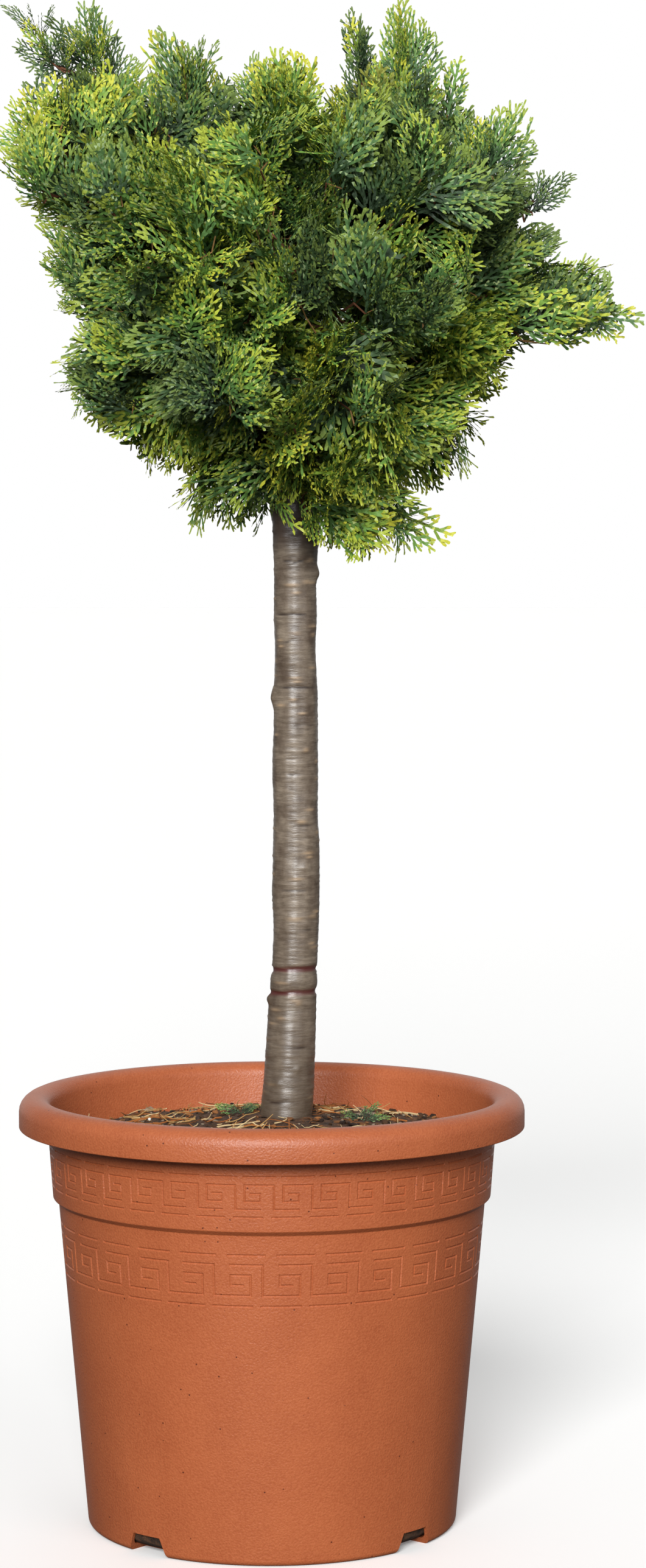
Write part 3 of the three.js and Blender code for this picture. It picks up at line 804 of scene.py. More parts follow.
FRONT = -math.pi / 2
PORES = 130
pore = np.zeros_like(HEIGHT)
stem_random = random_for(41)
for k in range(PORES):
    z = stem_random.uniform(stations[0, 0] / MM + 8, stations[-1, 0] / MM - 8)
    angle = stem_random.uniform(-math.pi, math.pi)
    spot = patch(angle, z, stem_random.uniform(1.6, 4.5), stem_random.uniform(0.5, 0.9))
    pore = np.maximum(pore, spot)
swell += 0.38 * pore

# Thin level cracks: height in mm, angle from the front, half length across in mm, depth in mm.
CRACKS = [
    (533.6, 0.1, 9, 0.6), (504.2, -0.2, 10, 0.7), (464.0, 0.15, 11, 0.8), (489.5, -0.5, 5, 0.4),
    (444.0, 0.5, 6, 0.4), (417.0, -0.3, 7, 0.4), (389.0, 0.3, 6, 0.45), (352.0, -0.1, 8, 0.4),
    (331.0, 0.4, 6, 0.4), (266.5, 0.2, 8, 0.5), (236.0, -0.4, 7, 0.5)]
CRACK_HALF_HEIGHT = 0.55 * MM
crack = np.zeros_like(HEIGHT)
for k, (z, turn, half_across, depth) in enumerate(CRACKS):
    wander = 1.2 * noise(around, (7 * MM, 7 * MM, 60 * MM), 50 + k)
    off_level = (HEIGHT - (z + wander) * MM) / CRACK_HALF_HEIGHT
    spot = np.exp(-(along_bark(FRONT + turn) / (half_across * MM)) ** 4 - off_level ** 2)
    crack = np.maximum(crack, spot * depth)
swell -= crack

# Snags left where shoots were rubbed off: angle from the front, height, half width and height, and swell.
SNAGS = [
    (1.25, 527.0, 3.0, 4.0, 2.3), (-1.35, 459.0, 3.0, 5.0, 2.0), (-1.30, 292.0, 2.6, 3.0, 1.8),
    (0.35, 254.0, 2.4, 1.6, 0.9), (-0.45, 246.0, 2.2, 1.6, 0.8), (0.45, 365.0, 3.2, 2.2, 0.9),
    (2.4, 410.0, 3.0, 4.0, 1.8)]
for turn, z, half_across, half_tall, proud in SNAGS:
    swell += proud * patch(FRONT + turn, z, half_across, half_tall)

# Two ring scars with a swollen collar between them, the graft, and the flare at the foot, in mm.
SCAR_HEIGHTS = (308.2, 295.3)
SCAR_HALF_HEIGHT = 1.35
SCAR_DEPTH = 0.85
COLLAR_HEIGHT = 301.7
COLLAR_SWELL = 0.5
GRAFT_FOOT = 538
FLARE_TOP = 222
FLARE_SWELL = 1.2
height_mm = HEIGHT / MM
scar = np.zeros_like(HEIGHT)
for z in SCAR_HEIGHTS:
    tilt = 0.8 * np.cos(ANGLE - FRONT - 0.6)
    edge = np.abs(height_mm - z - tilt - 0.4 * wrinkle)
    scar = np.maximum(scar, 1 / (1 + np.exp(np.minimum((edge - SCAR_HALF_HEIGHT) / 0.16, 50))))
swell -= SCAR_DEPTH * scar
swell += COLLAR_SWELL * np.exp(-((height_mm - COLLAR_HEIGHT) / 3.2) ** 2)
# Over the graft the bark is painted darker: partly its own colour, partly painted shade under the crown.
graft_and_crown_shade = np.clip((height_mm - GRAFT_FOOT - 5 * wrinkle) / 9, 0, 1)
knobs = noise(around, (9 * MM, 9 * MM, 7 * MM), 61)
warts = noise(around, (4 * MM, 4 * MM, 3 * MM), 62)
swell += graft_and_crown_shade * (0.9 * knobs + 0.35 * warts)
flare = np.clip((FLARE_TOP - height_mm) / 10, 0, 1)
swell += flare * FLARE_SWELL * np.maximum(0, np.cos(3 * ANGLE + 0.7))
full = RADIUS + swell * MM
stem_points = np.stack([
    along_stem(1, HEIGHT) + full * np.cos(ANGLE),
    along_stem(2, HEIGHT) + full * np.sin(ANGLE),
    HEIGHT,
], axis=-1).reshape(-1, 3)
stem_faces = ring_faces(STEM_UP, STEM_AROUND)
stem_faces.append(tuple(range(STEM_AROUND - 1, -1, -1)))
stem_faces.append(tuple(range((STEM_UP - 1) * STEM_AROUND, STEM_UP * STEM_AROUND)))
stem = mesh_object("stem_bark", stem_points, stem_faces, 70)
# What the bark's colours follow. The lowest part darkens towards the foot.
DARKER_TOP = 345
DARKER_FADE = 110
masks = {
    "pore": pore,
    "crack": np.clip(crack / 0.5, 0, 1),
    "scar": scar,
    "graft_and_crown_shade": graft_and_crown_shade,
    "darker_to_foot": 0.6 * np.clip((DARKER_TOP - height_mm) / DARKER_FADE, 0, 1),
}
for name, values in masks.items():
    attribute = stem.data.attributes.new(name, "FLOAT", "POINT")
    attribute.data.foreach_set("value", values.ravel().astype(np.float32))

# Young cork: a silvery skin over red brown, greyer where it is stretched, dark in the wrinkles and cracks,
# raw maroon in the ring scars, browner over the graft, partly its own bark and partly painted shade under the
# crown, and darker towards the foot.
WRINKLE = 1.6 * MM
SKIN_PATCH = 17 * MM
young_cork, tree, shader = new_material(
    "young_cork_silver_brown", {"Roughness": 0.4, "Specular IOR Level": 0.85})
place = add_node(tree, "ShaderNodeTexCoord")
level = add_node(tree, "ShaderNodeMapping", {"Scale": (0.16, 0.16, 1.0)}, {"Vector": place.outputs["Object"]})
bands = add_node(
    tree, "ShaderNodeTexNoise", {"Scale": 1 / WRINKLE, "Detail": 4, "Roughness": 0.65},
    {"Vector": level.outputs["Vector"]})
skin = add_node(
    tree, "ShaderNodeTexNoise", {"Scale": 1 / SKIN_PATCH, "Detail": 6, "Roughness": 0.62},
    {"Vector": place.outputs["Object"]})
skin_colour = add_node(
    tree, "ShaderNodeValToRGB", links={"Fac": skin.outputs["Fac"]},
    stops=((0.34, "#554639"), (0.62, "#8b7d6c")))
band_tone = add_node(
    tree, "ShaderNodeMapRange", {"From Min": 0.35, "From Max": 0.62, "To Min": 0.55, "To Max": 0.0},
    {"Value": bands.outputs["Fac"]})


def laid_over(base, mask, code):
    """One colour laid over another where a mask says."""
    mixed = add_node(tree, "ShaderNodeMixRGB", {"Color2": colour(code)}, {"Fac": mask, "Color1": base})
    return mixed.outputs["Color"]


bark_colour = laid_over(skin_colour.outputs["Color"], band_tone.outputs["Result"], "#443627")
MASK_COLOURS = [
    ("pore", "#a58c6f"), ("graft_and_crown_shade", "#4a3c33"), ("darker_to_foot", "#44382c"), ("crack", "#2a1c14"),
    ("scar", "#4d1f1a")]
for name, code in MASK_COLOURS:
    mask = add_node(tree, "ShaderNodeAttribute", attribute_name=name)
    bark_colour = laid_over(bark_colour, mask.outputs["Fac"], code)
relief = add_node(
    tree, "ShaderNodeBump", {"Strength": 0.6, "Distance": 0.5 * MM}, {"Height": bands.outputs["Fac"]})
tree.links.new(bark_colour, shader.inputs["Base Color"])
tree.links.new(relief.outputs["Normal"], shader.inputs["Normal"])
stem.data.materials.append(young_cork)
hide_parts("trunk")
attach(stem, "root")


# LEADER AND BOUGHS
# Above the graft a short leader and nine boughs carry the crown. Their bark is thin, red brown and flaky.
# Each is one tapering limb, which grows out of the leader or the graft and ends among its sprays.
LIMB_AROUND = 14
LIMB_STEP = 2.5 * MM
LIMB_SINK = 5 * MM
LIMB_REACH = 14 * MM
LIMBS = ["leader"] + sorted(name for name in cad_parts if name.startswith("bough_"))


def limb_line(node, first_end, last_end):
    """A CAD limb's middle line and radii from its thick end to its thin one, each end lengthened as asked."""
    co = np.array([v.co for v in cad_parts[node].data.vertices])
    middle = co.mean(axis=0)
    axis = np.linalg.svd(co - middle, full_matrices=False)[2][0]
    along = (co - middle) @ axis
    line_fit = np.polyfit(along, co - middle, 2)
    fitted = np.stack([np.polyval(line_fit[:, k], along) for k in range(3)], axis=1)
    away = np.linalg.norm(co - middle - fitted, axis=1)
    skin = away > 0.4 * away.max()
    radius_fit = np.polyfit(along[skin], away[skin], 1)
    start, end = along.min(), along.max()
    if radius_fit[0] > 0:
        start, end = end, start
    way = math.copysign(1, end - start)
    steps = int(abs(end - start) / LIMB_STEP) + 2
    stops = np.linspace(start - way * first_end, end + way * last_end, steps)
    line = middle + np.stack([np.polyval(line_fit[:, k], stops) for k in range(3)], axis=1)
    radii = np.polyval(radius_fit, np.clip(stops, min(start, end), max(start, end)))
    past = np.clip((stops - end) * way / max(last_end, MM), 0, 1)
    return line, radii * (1 - 0.75 * past)


FLAKE = (2.2 * MM, 2.2 * MM, 7 * MM)
FLAKE_SPOT = 3 * MM
TWIST = 5 * MM
flaky_bark, tree, shader = new_material("thin_flaky_bark_red_brown", {"Roughness": 0.85})
place = add_node(tree, "ShaderNodeTexCoord")
flakes = add_node(
    tree, "ShaderNodeTexNoise", {"Scale": 1 / FLAKE_SPOT, "Detail": 5, "Roughness": 0.7},
    {"Vector": place.outputs["Object"]})
flake_colour = add_node(
    tree, "ShaderNodeValToRGB", links={"Fac": flakes.outputs["Fac"]},
    stops=((0.36, "#3a2016"), (0.66, "#8b5b40")))
relief = add_node(
    tree, "ShaderNodeBump", {"Strength": 0.8, "Distance": 0.6 * MM}, {"Height": flakes.outputs["Fac"]})
tree.links.new(flake_colour.outputs["Color"], shader.inputs["Base Color"])
tree.links.new(relief.outputs["Normal"], shader.inputs["Normal"])

limb_lines = {}
for number, limb in enumerate(LIMBS):
    line, radii = limb_line(limb, LIMB_SINK, LIMB_REACH)
    limb_lines[limb] = line
    points, faces = tube(line, radii, LIMB_AROUND)
    centres = np.repeat(line, LIMB_AROUND, axis=0)
    out = unit(points - centres)
    swell = 0.07 * noise(points, FLAKE, 70) + 0.10 * noise(points, TWIST, 71 + number)
    points = points + out * (np.repeat(radii, LIMB_AROUND) * swell)[:, None]
    bark = mesh_object(limb + "_bark", points, faces, 70)
    bark.data.materials.append(flaky_bark)
    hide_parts(limb)
    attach(bark, "root")


# SPRAYS
# A hinoki's leaves are tiny scales in four rows along flat branchlets, so that each branchlet reads as one
# beaded cord. Cords fork in one plane into shell-shaped fans. Here a cord is a strip of triangles that
# zigzags between its edges, with some points raised, so that each triangle catches the light as one scale.
# The sprays inside the crown are coarser, with every second point of a cord left out.
CORD_WIDTH = 1.5 * MM
CORD_GAP = 2.0 * MM
CORD_RISE = 0.32
GROWTH_STEP = 1.25 * MM
INNER_CORD_WIDTH = 2.4 * MM
INNER_CORD_GAP = 2.9 * MM
INNER_ROW = 2
BLOOM_AND_GLINT_SHARE = 0.08
BASE, MIDDLE, TIP, BLOOM_AND_GLINT = range(4)
MOST_PLACES = 6000
MOST_CORDS = 2000
# A cord turns slowly outwards and wanders a little. It forks after so many steps, at an angle in degrees, and
# grows to a share of the outline. The pairs are for the first cord and the later ones.
OUTWARD_TURN = 0.085
WANDER = 0.03
STEPS_TO_FORK = (4.0, 2.5)
FORK_ANGLES = (40, 32)
FORK_SPREAD = 4
CORD_SHARES = (0.84, 1.08)
CROTCH = 0.42
# How steeply cords leave their spray's plane, and the shares of its length where one green follows another.
CORD_SLOPE = 0.15
BASE_END = 0.42
TIP_START = 0.84


def grow_cords(length, half_width, widest, seed, branch_gap, clearance, orders):
    """Grows a flat spray: tips move on together, fork to either side in turn, and stop at the leaf-shaped
    outline or close to another cord. Gives each cord's places, its parent and where on that it starts."""
    random = random_for(seed)
    cords, parents = [[np.zeros(2)]], [(0, 0)]
    tips = [{"cord": 0, "heading": 0.0, "order": 0, "side": 1, "next": STEPS_TO_FORK[0], "limit": 1.0}]
    taken, owner = np.zeros((MOST_PLACES, 2)), np.zeros(MOST_PLACES, int)
    order_of, parent_of = np.zeros(MOST_CORDS, int), np.full(MOST_CORDS, -1)
    count = 0
    while tips:
        growing = []
        for tip in tips:
            cord = cords[tip["cord"]]
            run = len(cord)
            place = cord[-1] + GROWTH_STEP * np.array((math.sin(tip["heading"]), math.cos(tip["heading"])))
            share = place[1] / (length * tip["limit"])
            if not 0 <= share < 1:
                continue
            room = half_width * tip["limit"] * (0.25 + 0.75 * min(1, share / widest) ** 0.8)
            if share > widest:
                room *= math.sqrt(1 - ((share - widest) / (1 - widest)) ** 2)
            if abs(place[0]) > room:
                continue
            owners = owner[:count]
            kin = (owners == tip["cord"]) | (parent_of[owners] == tip["cord"])
            near = taken[:count][~kin & (order_of[owners] <= tip["order"])] - place
            if len(near) and (near ** 2).sum(axis=1).min() < min(clearance, CROTCH * run * GROWTH_STEP) ** 2:
                continue
            cord.append(place)
            taken[count], owner[count] = place, tip["cord"]
            count += 1
            onward = math.atan2(place[0], place[1] + 0.4 * length)
            tip["heading"] += OUTWARD_TURN * (onward - tip["heading"]) + random.normal(0, WANDER)
            if run >= tip["next"] and tip["order"] < orders:
                spread = math.radians(random.normal(FORK_ANGLES[min(1, tip["order"])], FORK_SPREAD))
                parent_of[len(cords)] = tip["cord"]
                order_of[len(cords)] = tip["order"] + 1
                parents.append((tip["cord"], run))
                cords.append([place])
                growing.append({
                    "cord": len(cords) - 1, "heading": tip["heading"] + tip["side"] * spread,
                    "order": tip["order"] + 1, "side": tip["side"], "next": STEPS_TO_FORK[1],
                    "limit": random.uniform(*CORD_SHARES)})
                tip["side"] *= -1
                tip["next"] = run + branch_gap / GROWTH_STEP * random.uniform(0.8, 1.2)
            growing.append(tip)
        tips = growing
    return cords, parents


def spray_template(length, half_width, widest, seed, branch_gap, orders, inner=False):
    """A spray's points (across, along, up), how far each is lifted out of its plane, its triangles, their
    zones and its length."""
    width = INNER_CORD_WIDTH if inner else CORD_WIDTH
    random = random_for(seed + 500)
    clearance = INNER_CORD_GAP if inner else CORD_GAP
    cords, parents = grow_cords(length, half_width, widest, seed, branch_gap, clearance, orders)
    lifts, points, lifted, triangles, zones = [], [], [], [], []
    for cord, (parent, birth) in zip(cords, parents):
        slope = random.normal(0, CORD_SLOPE) if lifts else 0.0
        start = lifts[parent][min(birth, len(lifts[parent]) - 1)] if lifts else 0.0
        lifts.append(start + slope * GROWTH_STEP * np.arange(len(cord)))
        picked = np.arange(0, len(cord), INNER_ROW if inner else 1)
        if len(picked) < 3:
            continue
        line = np.array(cord)[picked]
        ahead = unit(np.gradient(line, axis=0))
        side = np.stack([ahead[:, 1], -ahead[:, 0]], axis=1)
        count = np.arange(len(line))
        edge = (-1.0) ** count * (1 + 0.15 * (-1.0) ** (count // 2)) * width / 2
        flat = line + side * edge[:, None]
        last_edge = edge[-1] * side[-1]
        blunt_end = [line[-1] + ahead[-1] * width * 0.42 - last_edge * 0.75,
                     line[-1] + ahead[-1] * width * 0.60 + last_edge * 0.35]
        flat = np.vstack([flat, blunt_end])
        rise = np.where(np.arange(len(flat)) % 3 == 1, CORD_RISE * width, 0)
        first = len(points)
        points.extend(zip(flat[:, 0], flat[:, 1], rise))
        lifted.extend(np.append(lifts[-1][picked], [lifts[-1][-1]] * 2))
        reach = np.hypot(line[:, 0], line[:, 1]) / length
        for k in range(len(flat) - 2):
            share = reach[min(k, len(reach) - 1)]
            near_end = k > len(flat) - 6 and reach[-1] > 0.5
            zone = BASE if share < BASE_END else (TIP if share > TIP_START or near_end else MIDDLE)
            # Painted glints: a few scales take the pale bloom green, partly real bloom and partly light
            # caught off them.
            zones.append(BLOOM_AND_GLINT if random.uniform() < BLOOM_AND_GLINT_SHARE else zone)
            triangles.append((first + k, first + k + 1 + k % 2, first + k + 2 - k % 2))
    return np.array(points), np.array(lifted), np.array(triangles), np.array(zones), length


FAN_SHAPE = (43 * MM, 17 * MM, 0.50)
FROND_SHAPE = (50 * MM, 12.5 * MM, 0.45)
WISP_SHAPE = (46 * MM, 8 * MM, 0.35)
INNER_SHAPE = (40 * MM, 18 * MM, 0.50)
TEMPLATES = {
    "fan": [spray_template(*FAN_SHAPE, 200 + k, 2.6 * MM, 3) for k in range(5)],
    "frond": [spray_template(*FROND_SHAPE, 210 + k, 2.6 * MM, 3) for k in range(4)],
    "wisp": [spray_template(*WISP_SHAPE, 220 + k, 3.4 * MM, 2) for k in range(3)],
    "inner": [spray_template(*INNER_SHAPE, 230 + k, 3.9 * MM, 2, inner=True) for k in range(3)],
}

# Scale-leaf greens from the shaded inside to the sunlit rim: a spray's base, middle and tips, and the pale
# bloom on a few of its scales, partly real bloom and partly painted glints of light. Each step is the
# lightness at which the next green takes over.
GREENS = {
    "shade": ("#293926", "#3d5533", "#667a3e", "#7d9166"),
    "deep": ("#344a2f", "#4e6f3f", "#7f9546", "#92a878"),
    "mid": ("#3f5d33", "#5d8240", "#98a944", "#a6b77a"),
    "fresh": ("#486a35", "#69903f", "#a9b742", "#b5c470"),
    "bright": ("#507338", "#74983f", "#b3bd42", "#c3cb69"),
    "gold": ("#567531", "#7f9b3a", "#bdbe3e", "#cbcd5c"),
    "olive": ("#4a5026", "#687234", "#8c903f", "#a4aa62"),
}
TONES = list(GREENS)
TONE_STEPS = [0.27, 0.41, 0.54, 0.68]
LEAF_FINISHES = []
for tone, codes in GREENS.items():
    for part, code in zip(("base", "middle", "tip", "bloom_and_glint"), codes):
        LEAF_FINISHES.append(plain_material("scale_leaf_" + tone + "_" + part, code, 0.55))

# Where the sprays sit. For each mass: how light its green is, its share of golden sprays, how full it is, and
# how it grows. The lightness is partly painted light: low masses, which the light reaches less, get lighter
# greens, and some high ones darker.
CROWN = {
    "sprays_top": {
        "wisp_left": (0.08, 0.20, 0.55, "upright"), "crest_left": (0.33, 0.28, 0.6, "upright"),
        "spire_one": (0.33, 0.24, 0.6, "upright"), "spire_two": (0.48, 0.33, 0.6, "upright"),
        "spire_three": (0.18, 0.20, 0.75, "upright"), "spire_four": (0.52, 0.30, 0.62, "upright"),
        "spire_five": (0.60, 0.28, 0.6, "upright"),
    },
    "sprays_left": {
        "lobe_upper": (0.22, 0.28, 1, "fan"), "lobe_outer": (0.64, 0.42, 1, "fan"),
        "lobe_front": (0.42, 0.12, 1, "fan"), "flank_left": (0.44, 0.20, 1, "fan"),
        "fan_left": (0.35, 0.28, 1, "fan"), "skirt_left": (0.82, 0.12, 1, "hang"),
        "skirt_low_left": (0.92, 0.16, 1, "hang"), "hem_left": (0.50, 0.16, 0.9, "hang"),
    },
    "sprays_brow": {
        "brow_left": (0.65, 0.42, 1, "fan"), "brow_mid": (0.42, 0.08, 1, "fan"),
        "brow_right": (0.22, 0.24, 1, "fan"), "cheek_right": (0.08, 0.06, 1, "fan"),
        "face_left": (0.45, 0.10, 1, "fan"),
    },
    "sprays_face": {
        "face_mid_left": (0.60, 0.14, 1, "fan"), "face_mid": (0.28, 0.06, 1, "fan"),
        "face_mid_right": (0.46, 0.12, 1, "fan"), "belly_right": (0.47, 0.13, 1, "fan"),
        "belly_left": (0.02, 0.12, 1, "fan"), "belly_mid": (0.47, 0.10, 1, "fan"),
    },
    "sprays_hem": {
        "chin": (1.08, 0.34, 1, "fan"), "hem_front": (1.08, 0.26, 0.9, "hang"),
        "drop_front": (1.00, 0.75, 0.8, "hang"), "nape_hem": (0.80, 0.14, 0.9, "hang"),
    },
    "sprays_right": {
        "fan_right": (0.36, 0.28, 0.6, "upright"), "prong_right": (0.10, 0.20, 0.65, "prong"),
        "gold_right": (0.27, 0.28, 1, "fan"), "arm_right": (0.33, 0.10, 1, "fan"),
        "hand_right": (0.38, 0.28, 0.65, "fan"), "gold_low_right": (1.15, 0.60, 1, "fan"),
        "flank_low_right": (0.75, 0.14, 1, "fan"), "skirt_right": (0.64, 0.10, 1, "hang"),
        "drop_right": (0.58, 0.25, 0.9, "hang"),
    },
    "sprays_back_high": {
        "nape_top_left": (0.40, 0.22, 1, "fan"), "nape_top_mid": (0.05, 0.12, 1, "fan"),
        "nape_top_right": (0.46, 0.22, 1, "fan"), "nape_left": (0.60, 0.20, 1, "fan"),
    },
    "sprays_back_low": {
        "nape_mid": (0.45, 0.15, 1, "fan"), "nape_right": (0.58, 0.18, 1, "fan"),
        "nape_low_left": (0.45, 0.12, 1, "fan"), "nape_low_right": (0.54, 0.12, 1, "fan"),
    },
}
# The shoots that stand out against the sky: where each one's tip and foot are, across and in height in mm,
# its kind of spray and how wide it is for its kind.
SHOOTS = {
    "wisp_left": [
        (-146, 842, -128, 820, "frond", 0.6), (-139, 831, -122, 808, "wisp", 1.0),
        (-143, 819, -118, 806, "frond", 0.9), (-134, 806, -107, 801, "wisp", 1.2),
        (-127, 825, -111, 803, "frond", 1.0),
    ],
    "crest_left": [
        (-121, 834, -99, 803, "frond", 0.8), (-103, 844, -98, 806, "frond", 1.0),
        (-89, 827, -91, 796, "frond", 1.0), (-77, 814, -91, 793, "fan", 0.9),
        (-110, 830, -97, 798, "frond", 0.9),
    ],
    "spire_one": [
        (-64, 826, -44, 777, "frond", 0.8), (-59, 827, -45, 779, "frond", 0.8),
        (-45, 819, -44, 776, "frond", 1.0), (-34, 809, -40, 776, "fan", 0.8),
        (-23, 794, -40, 772, "fan", 1.0), (-59, 804, -46, 772, "fan", 0.9),
        (-68, 792, -49, 771, "fan", 0.9),
    ],
    "spire_two": [
        (-13, 811, -3, 774, "frond", 0.8), (-17, 801, -4, 772, "frond", 0.9),
        (-3, 808, 4, 772, "fan", 0.9), (6, 814, 8, 772, "fan", 0.9), (14, 813, 9, 772, "fan", 0.9),
        (21, 808, 9, 772, "fan", 0.9), (25, 793, 9, 769, "fan", 0.9),
    ],
    "spire_three": [
        (41, 838, 48, 803, "frond", 0.8), (47, 832, 50, 796, "wisp", 1.2), (52, 827, 50, 796, "wisp", 1.1),
        (40, 811, 51, 783, "frond", 0.9), (58, 813, 51, 783, "frond", 0.9),
        (37, 797, 51, 774, "frond", 1.0),
    ],
    "spire_four": [
        (72, 842, 72, 798, "frond", 0.9), (64, 828, 70, 791, "frond", 0.9),
        (82, 829, 73, 793, "frond", 0.9), (89, 821, 75, 786, "fan", 0.8), (62, 812, 69, 779, "fan", 0.9),
        (92, 804, 77, 774, "frond", 0.9), (56, 798, 69, 771, "fan", 1.0),
    ],
    "spire_five": [
        (103, 812, 97, 779, "wisp", 1.2), (107, 801, 97, 776, "wisp", 1.2),
        (106, 783, 90, 767, "wisp", 1.2),
    ],
    "fan_right": [
        (124, 782, 119, 745, "fan", 0.8), (136, 784, 120, 745, "fan", 0.8),
        (141, 766, 120, 745, "fan", 1.0), (143, 751, 122, 741, "frond", 1.2),
        (111, 776, 114, 745, "frond", 1.0), (103, 777, 107, 746, "frond", 1.0),
    ],
    "prong_right": [
        (166, 748, 144, 731, "frond", 0.9), (163, 738, 143, 725, "wisp", 1.3),
        (152, 747, 139, 720, "frond", 1.0),
    ],
    "hand_right": [
        (204, 664, 168, 668, "wisp", 1.3), (199, 666, 168, 669, "wisp", 1.1),
        (193, 658, 166, 667, "wisp", 1.3), (177, 698, 150, 672, "fan", 0.8),
        (186, 689, 153, 671, "fan", 0.8), (165, 697, 146, 671, "fan", 0.8),
    ],
    "gold_right": [(158, 709, 131, 701, "fan", 0.7), (155, 702, 130, 698, "frond", 0.9)],
    "lobe_outer": [
        (-143, 783, -122, 757, "fan", 0.8), (-133, 790, -117, 760, "fan", 0.9),
        (-121, 798, -108, 766, "fan", 0.9), (-148, 769, -125, 753, "fan", 0.8),
    ],
    "flank_left": [
        (-130, 723, -102, 716, "frond", 1.0), (-124, 699, -97, 696, "fan", 0.8),
        (-122, 685, -95, 692, "frond", 1.0), (-117, 675, -95, 686, "frond", 0.9),
    ],
    "hem_left": [(-46, 549, -30, 588, "frond", 0.7), (-38, 558, -26, 592, "frond", 0.7)],
    "skirt_low_left": [(-62, 583, -45, 605, "frond", 0.9)],
    "drop_front": [(61, 537, 44, 566, "fan", 0.8), (50, 541, 40, 568, "fan", 0.7)],
    "drop_right": [
        (99, 546, 64, 563, "wisp", 1.4), (91, 541, 60, 557, "wisp", 1.2), (80, 551, 54, 562, "frond", 0.7),
    ],
    "skirt_right": [(84, 570, 66, 600, "frond", 0.9), (72, 572, 58, 602, "frond", 0.9)],
}
# Gaps in the crown's outline, where the sky shows between its sprays: from and to across, from and to in
# height, in mm.
SKY = [
    (74, 104, 553, 578), (-44, -12, 530, 553), (-64, -49, 562, 580), (-152, -135, 718, 738),
    (136, 168, 632, 660), (170, 190, 630, 653), (190, 206, 630, 658), (112, 127, 611, 627),
    (141, 155, 685, 698), (143, 165, 716, 731), (-147, -125, 796, 811), (-124, -108, 643, 672),
    (-98, -78, 590, 602), (89, 104, 815, 828), (-76, -60, 802, 842), (-26, -16, 798, 842),
    (24, 36, 786, 842), (54, 62, 815, 842), (93, 99, 803, 842), (106, 112, 783, 800),
    (186, 200, 670, 686), (-155, -144, 735, 766), (30, 44, 525, 539), (36, 44, 808, 822),
]


def mass_triangles(node):
    """The corners of each triangle of a CAD foliage mass."""
    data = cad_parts[node].data
    data.calc_loop_triangles()
    co = np.array([v.co for v in data.vertices])
    return co[np.array([t.vertices for t in data.loop_triangles])]


masses = [mass for region in CROWN.values() for mass in region]
mass_shapes = {mass: mass_triangles(mass) for mass in masses}
mass_middles = np.array([shape.reshape(-1, 3).mean(axis=0) for shape in mass_shapes.values()])
all_corners = np.concatenate(list(mass_shapes.values())).reshape(-1, 3)
crown_tree = BVHTree.FromPolygons(all_corners.tolist(), np.arange(len(all_corners)).reshape(-1, 3).tolist())
wood_places = np.concatenate(list(limb_lines.values()))
# The middle of the crown, which sprays grow away from.
HEART = np.array((0.020, 0.0, 0.655))

# Rays from a place tell where it lies. A place on a mass is in the open when enough of the rays about its
# outward direction meet no other mass.
OPEN_RAYS = 8
OPEN_CONE = math.radians(48)
OPEN_DISTANCE = 45 * MM
OPEN_START = 1.5 * MM
OPEN_ENOUGH = 0.12
SKEW_AIM = (0.31, 0.22, 0.925)
AXIS_AIMS = np.concatenate([np.eye(3), -np.eye(3)])
DEEP_MARGIN = 8 * MM
HOLLOW_REACH = 85 * MM
SLOT_AIMS = [((0, 1, 0), 50 * MM), ((0, -1, 0), 50 * MM), ((0, 0, -1), 95 * MM)]
PIT_AIMS = [((1, 0, 0), 60 * MM), ((-1, 0, 0), 60 * MM), ((0, 0, 1), 60 * MM), ((0, 0, -1), 60 * MM)]
PIT_FRONT = -35 * MM


def meets(place, aim, reach):
    """Whether a ray from a place meets a foliage mass."""
    return crown_tree.ray_cast(Vector(place), Vector(aim), reach)[0] is not None


def openness(place, out, random):
    """The share of rays about a direction that leave the crown without meeting another mass."""
    aims = [unit(out + math.tan(OPEN_CONE) * random.uniform(-1, 1, 3)) for k in range(OPEN_RAYS)]
    return sum(not meets(place + out * OPEN_START, aim, OPEN_DISTANCE) for aim in aims) / OPEN_RAYS


def within(place):
    """Whether a place is inside a foliage mass: the first face on its way out shows its back."""
    found, normal, _, _ = crown_tree.ray_cast(Vector(place), Vector(SKEW_AIM))
    return found is not None and normal.dot(Vector(SKEW_AIM)) > 0


def deep_within(place):
    """Whether a place is inside the foliage masses with a margin all round it."""
    return within(place) and all(within(place + aim * DEEP_MARGIN) for aim in AXIS_AIMS)


def enclosed(place):
    """Whether a place has foliage masses all round it."""
    return all(meets(place, aim, HOLLOW_REACH) for aim in AXIS_AIMS)


def in_slot(place):
    """Whether a place is in a gap that masses close in front, behind and below, or deep in a pit."""
    if within(place):
        return False
    in_pit = place[1] > PIT_FRONT and all(meets(place, aim, reach) for aim, reach in PIT_AIMS)
    return in_pit or all(meets(place, aim, reach) for aim, reach in SLOT_AIMS)


def in_sky(place):
    """Whether a place lies where the sky should show through."""
    x, z = place[0] / MM, place[2] / MM
    return any(x_low < x < x_high and z_low < z < z_high for x_low, x_high, z_low, z_high in SKY)


def nearest_mass(place):
    """The mass that a place between masses is counted with."""
    return masses[int(np.argmin(np.linalg.norm(mass_middles - place, axis=1)))]


def perpendicular(v, axis):
    """The part of v square to an axis, at length 1."""
    return unit(v - axis * float(np.dot(v, axis)))


def tone_at(value, steps=TONE_STEPS):
    """The green for a lightness."""
    return TONES[int(np.searchsorted(steps, value))]


# How far a spray bends along its length, cups across it and sweeps to one side, each as a mean and a spread.
# Ripples of such depths in mm run across and along it, and its cords' lifts are scaled by such shares.
BEND = (0.06, 0.15)
CUP = (0.25, 0.30)
SWEEP = (0, 0.18)
RIPPLE_DEEP = (0.5, 1.6)
RIPPLE_ACROSS = 6 * MM
RIPPLE_ALONG = 8 * MM
LIFT_SHARES = (0.5, 1.6)


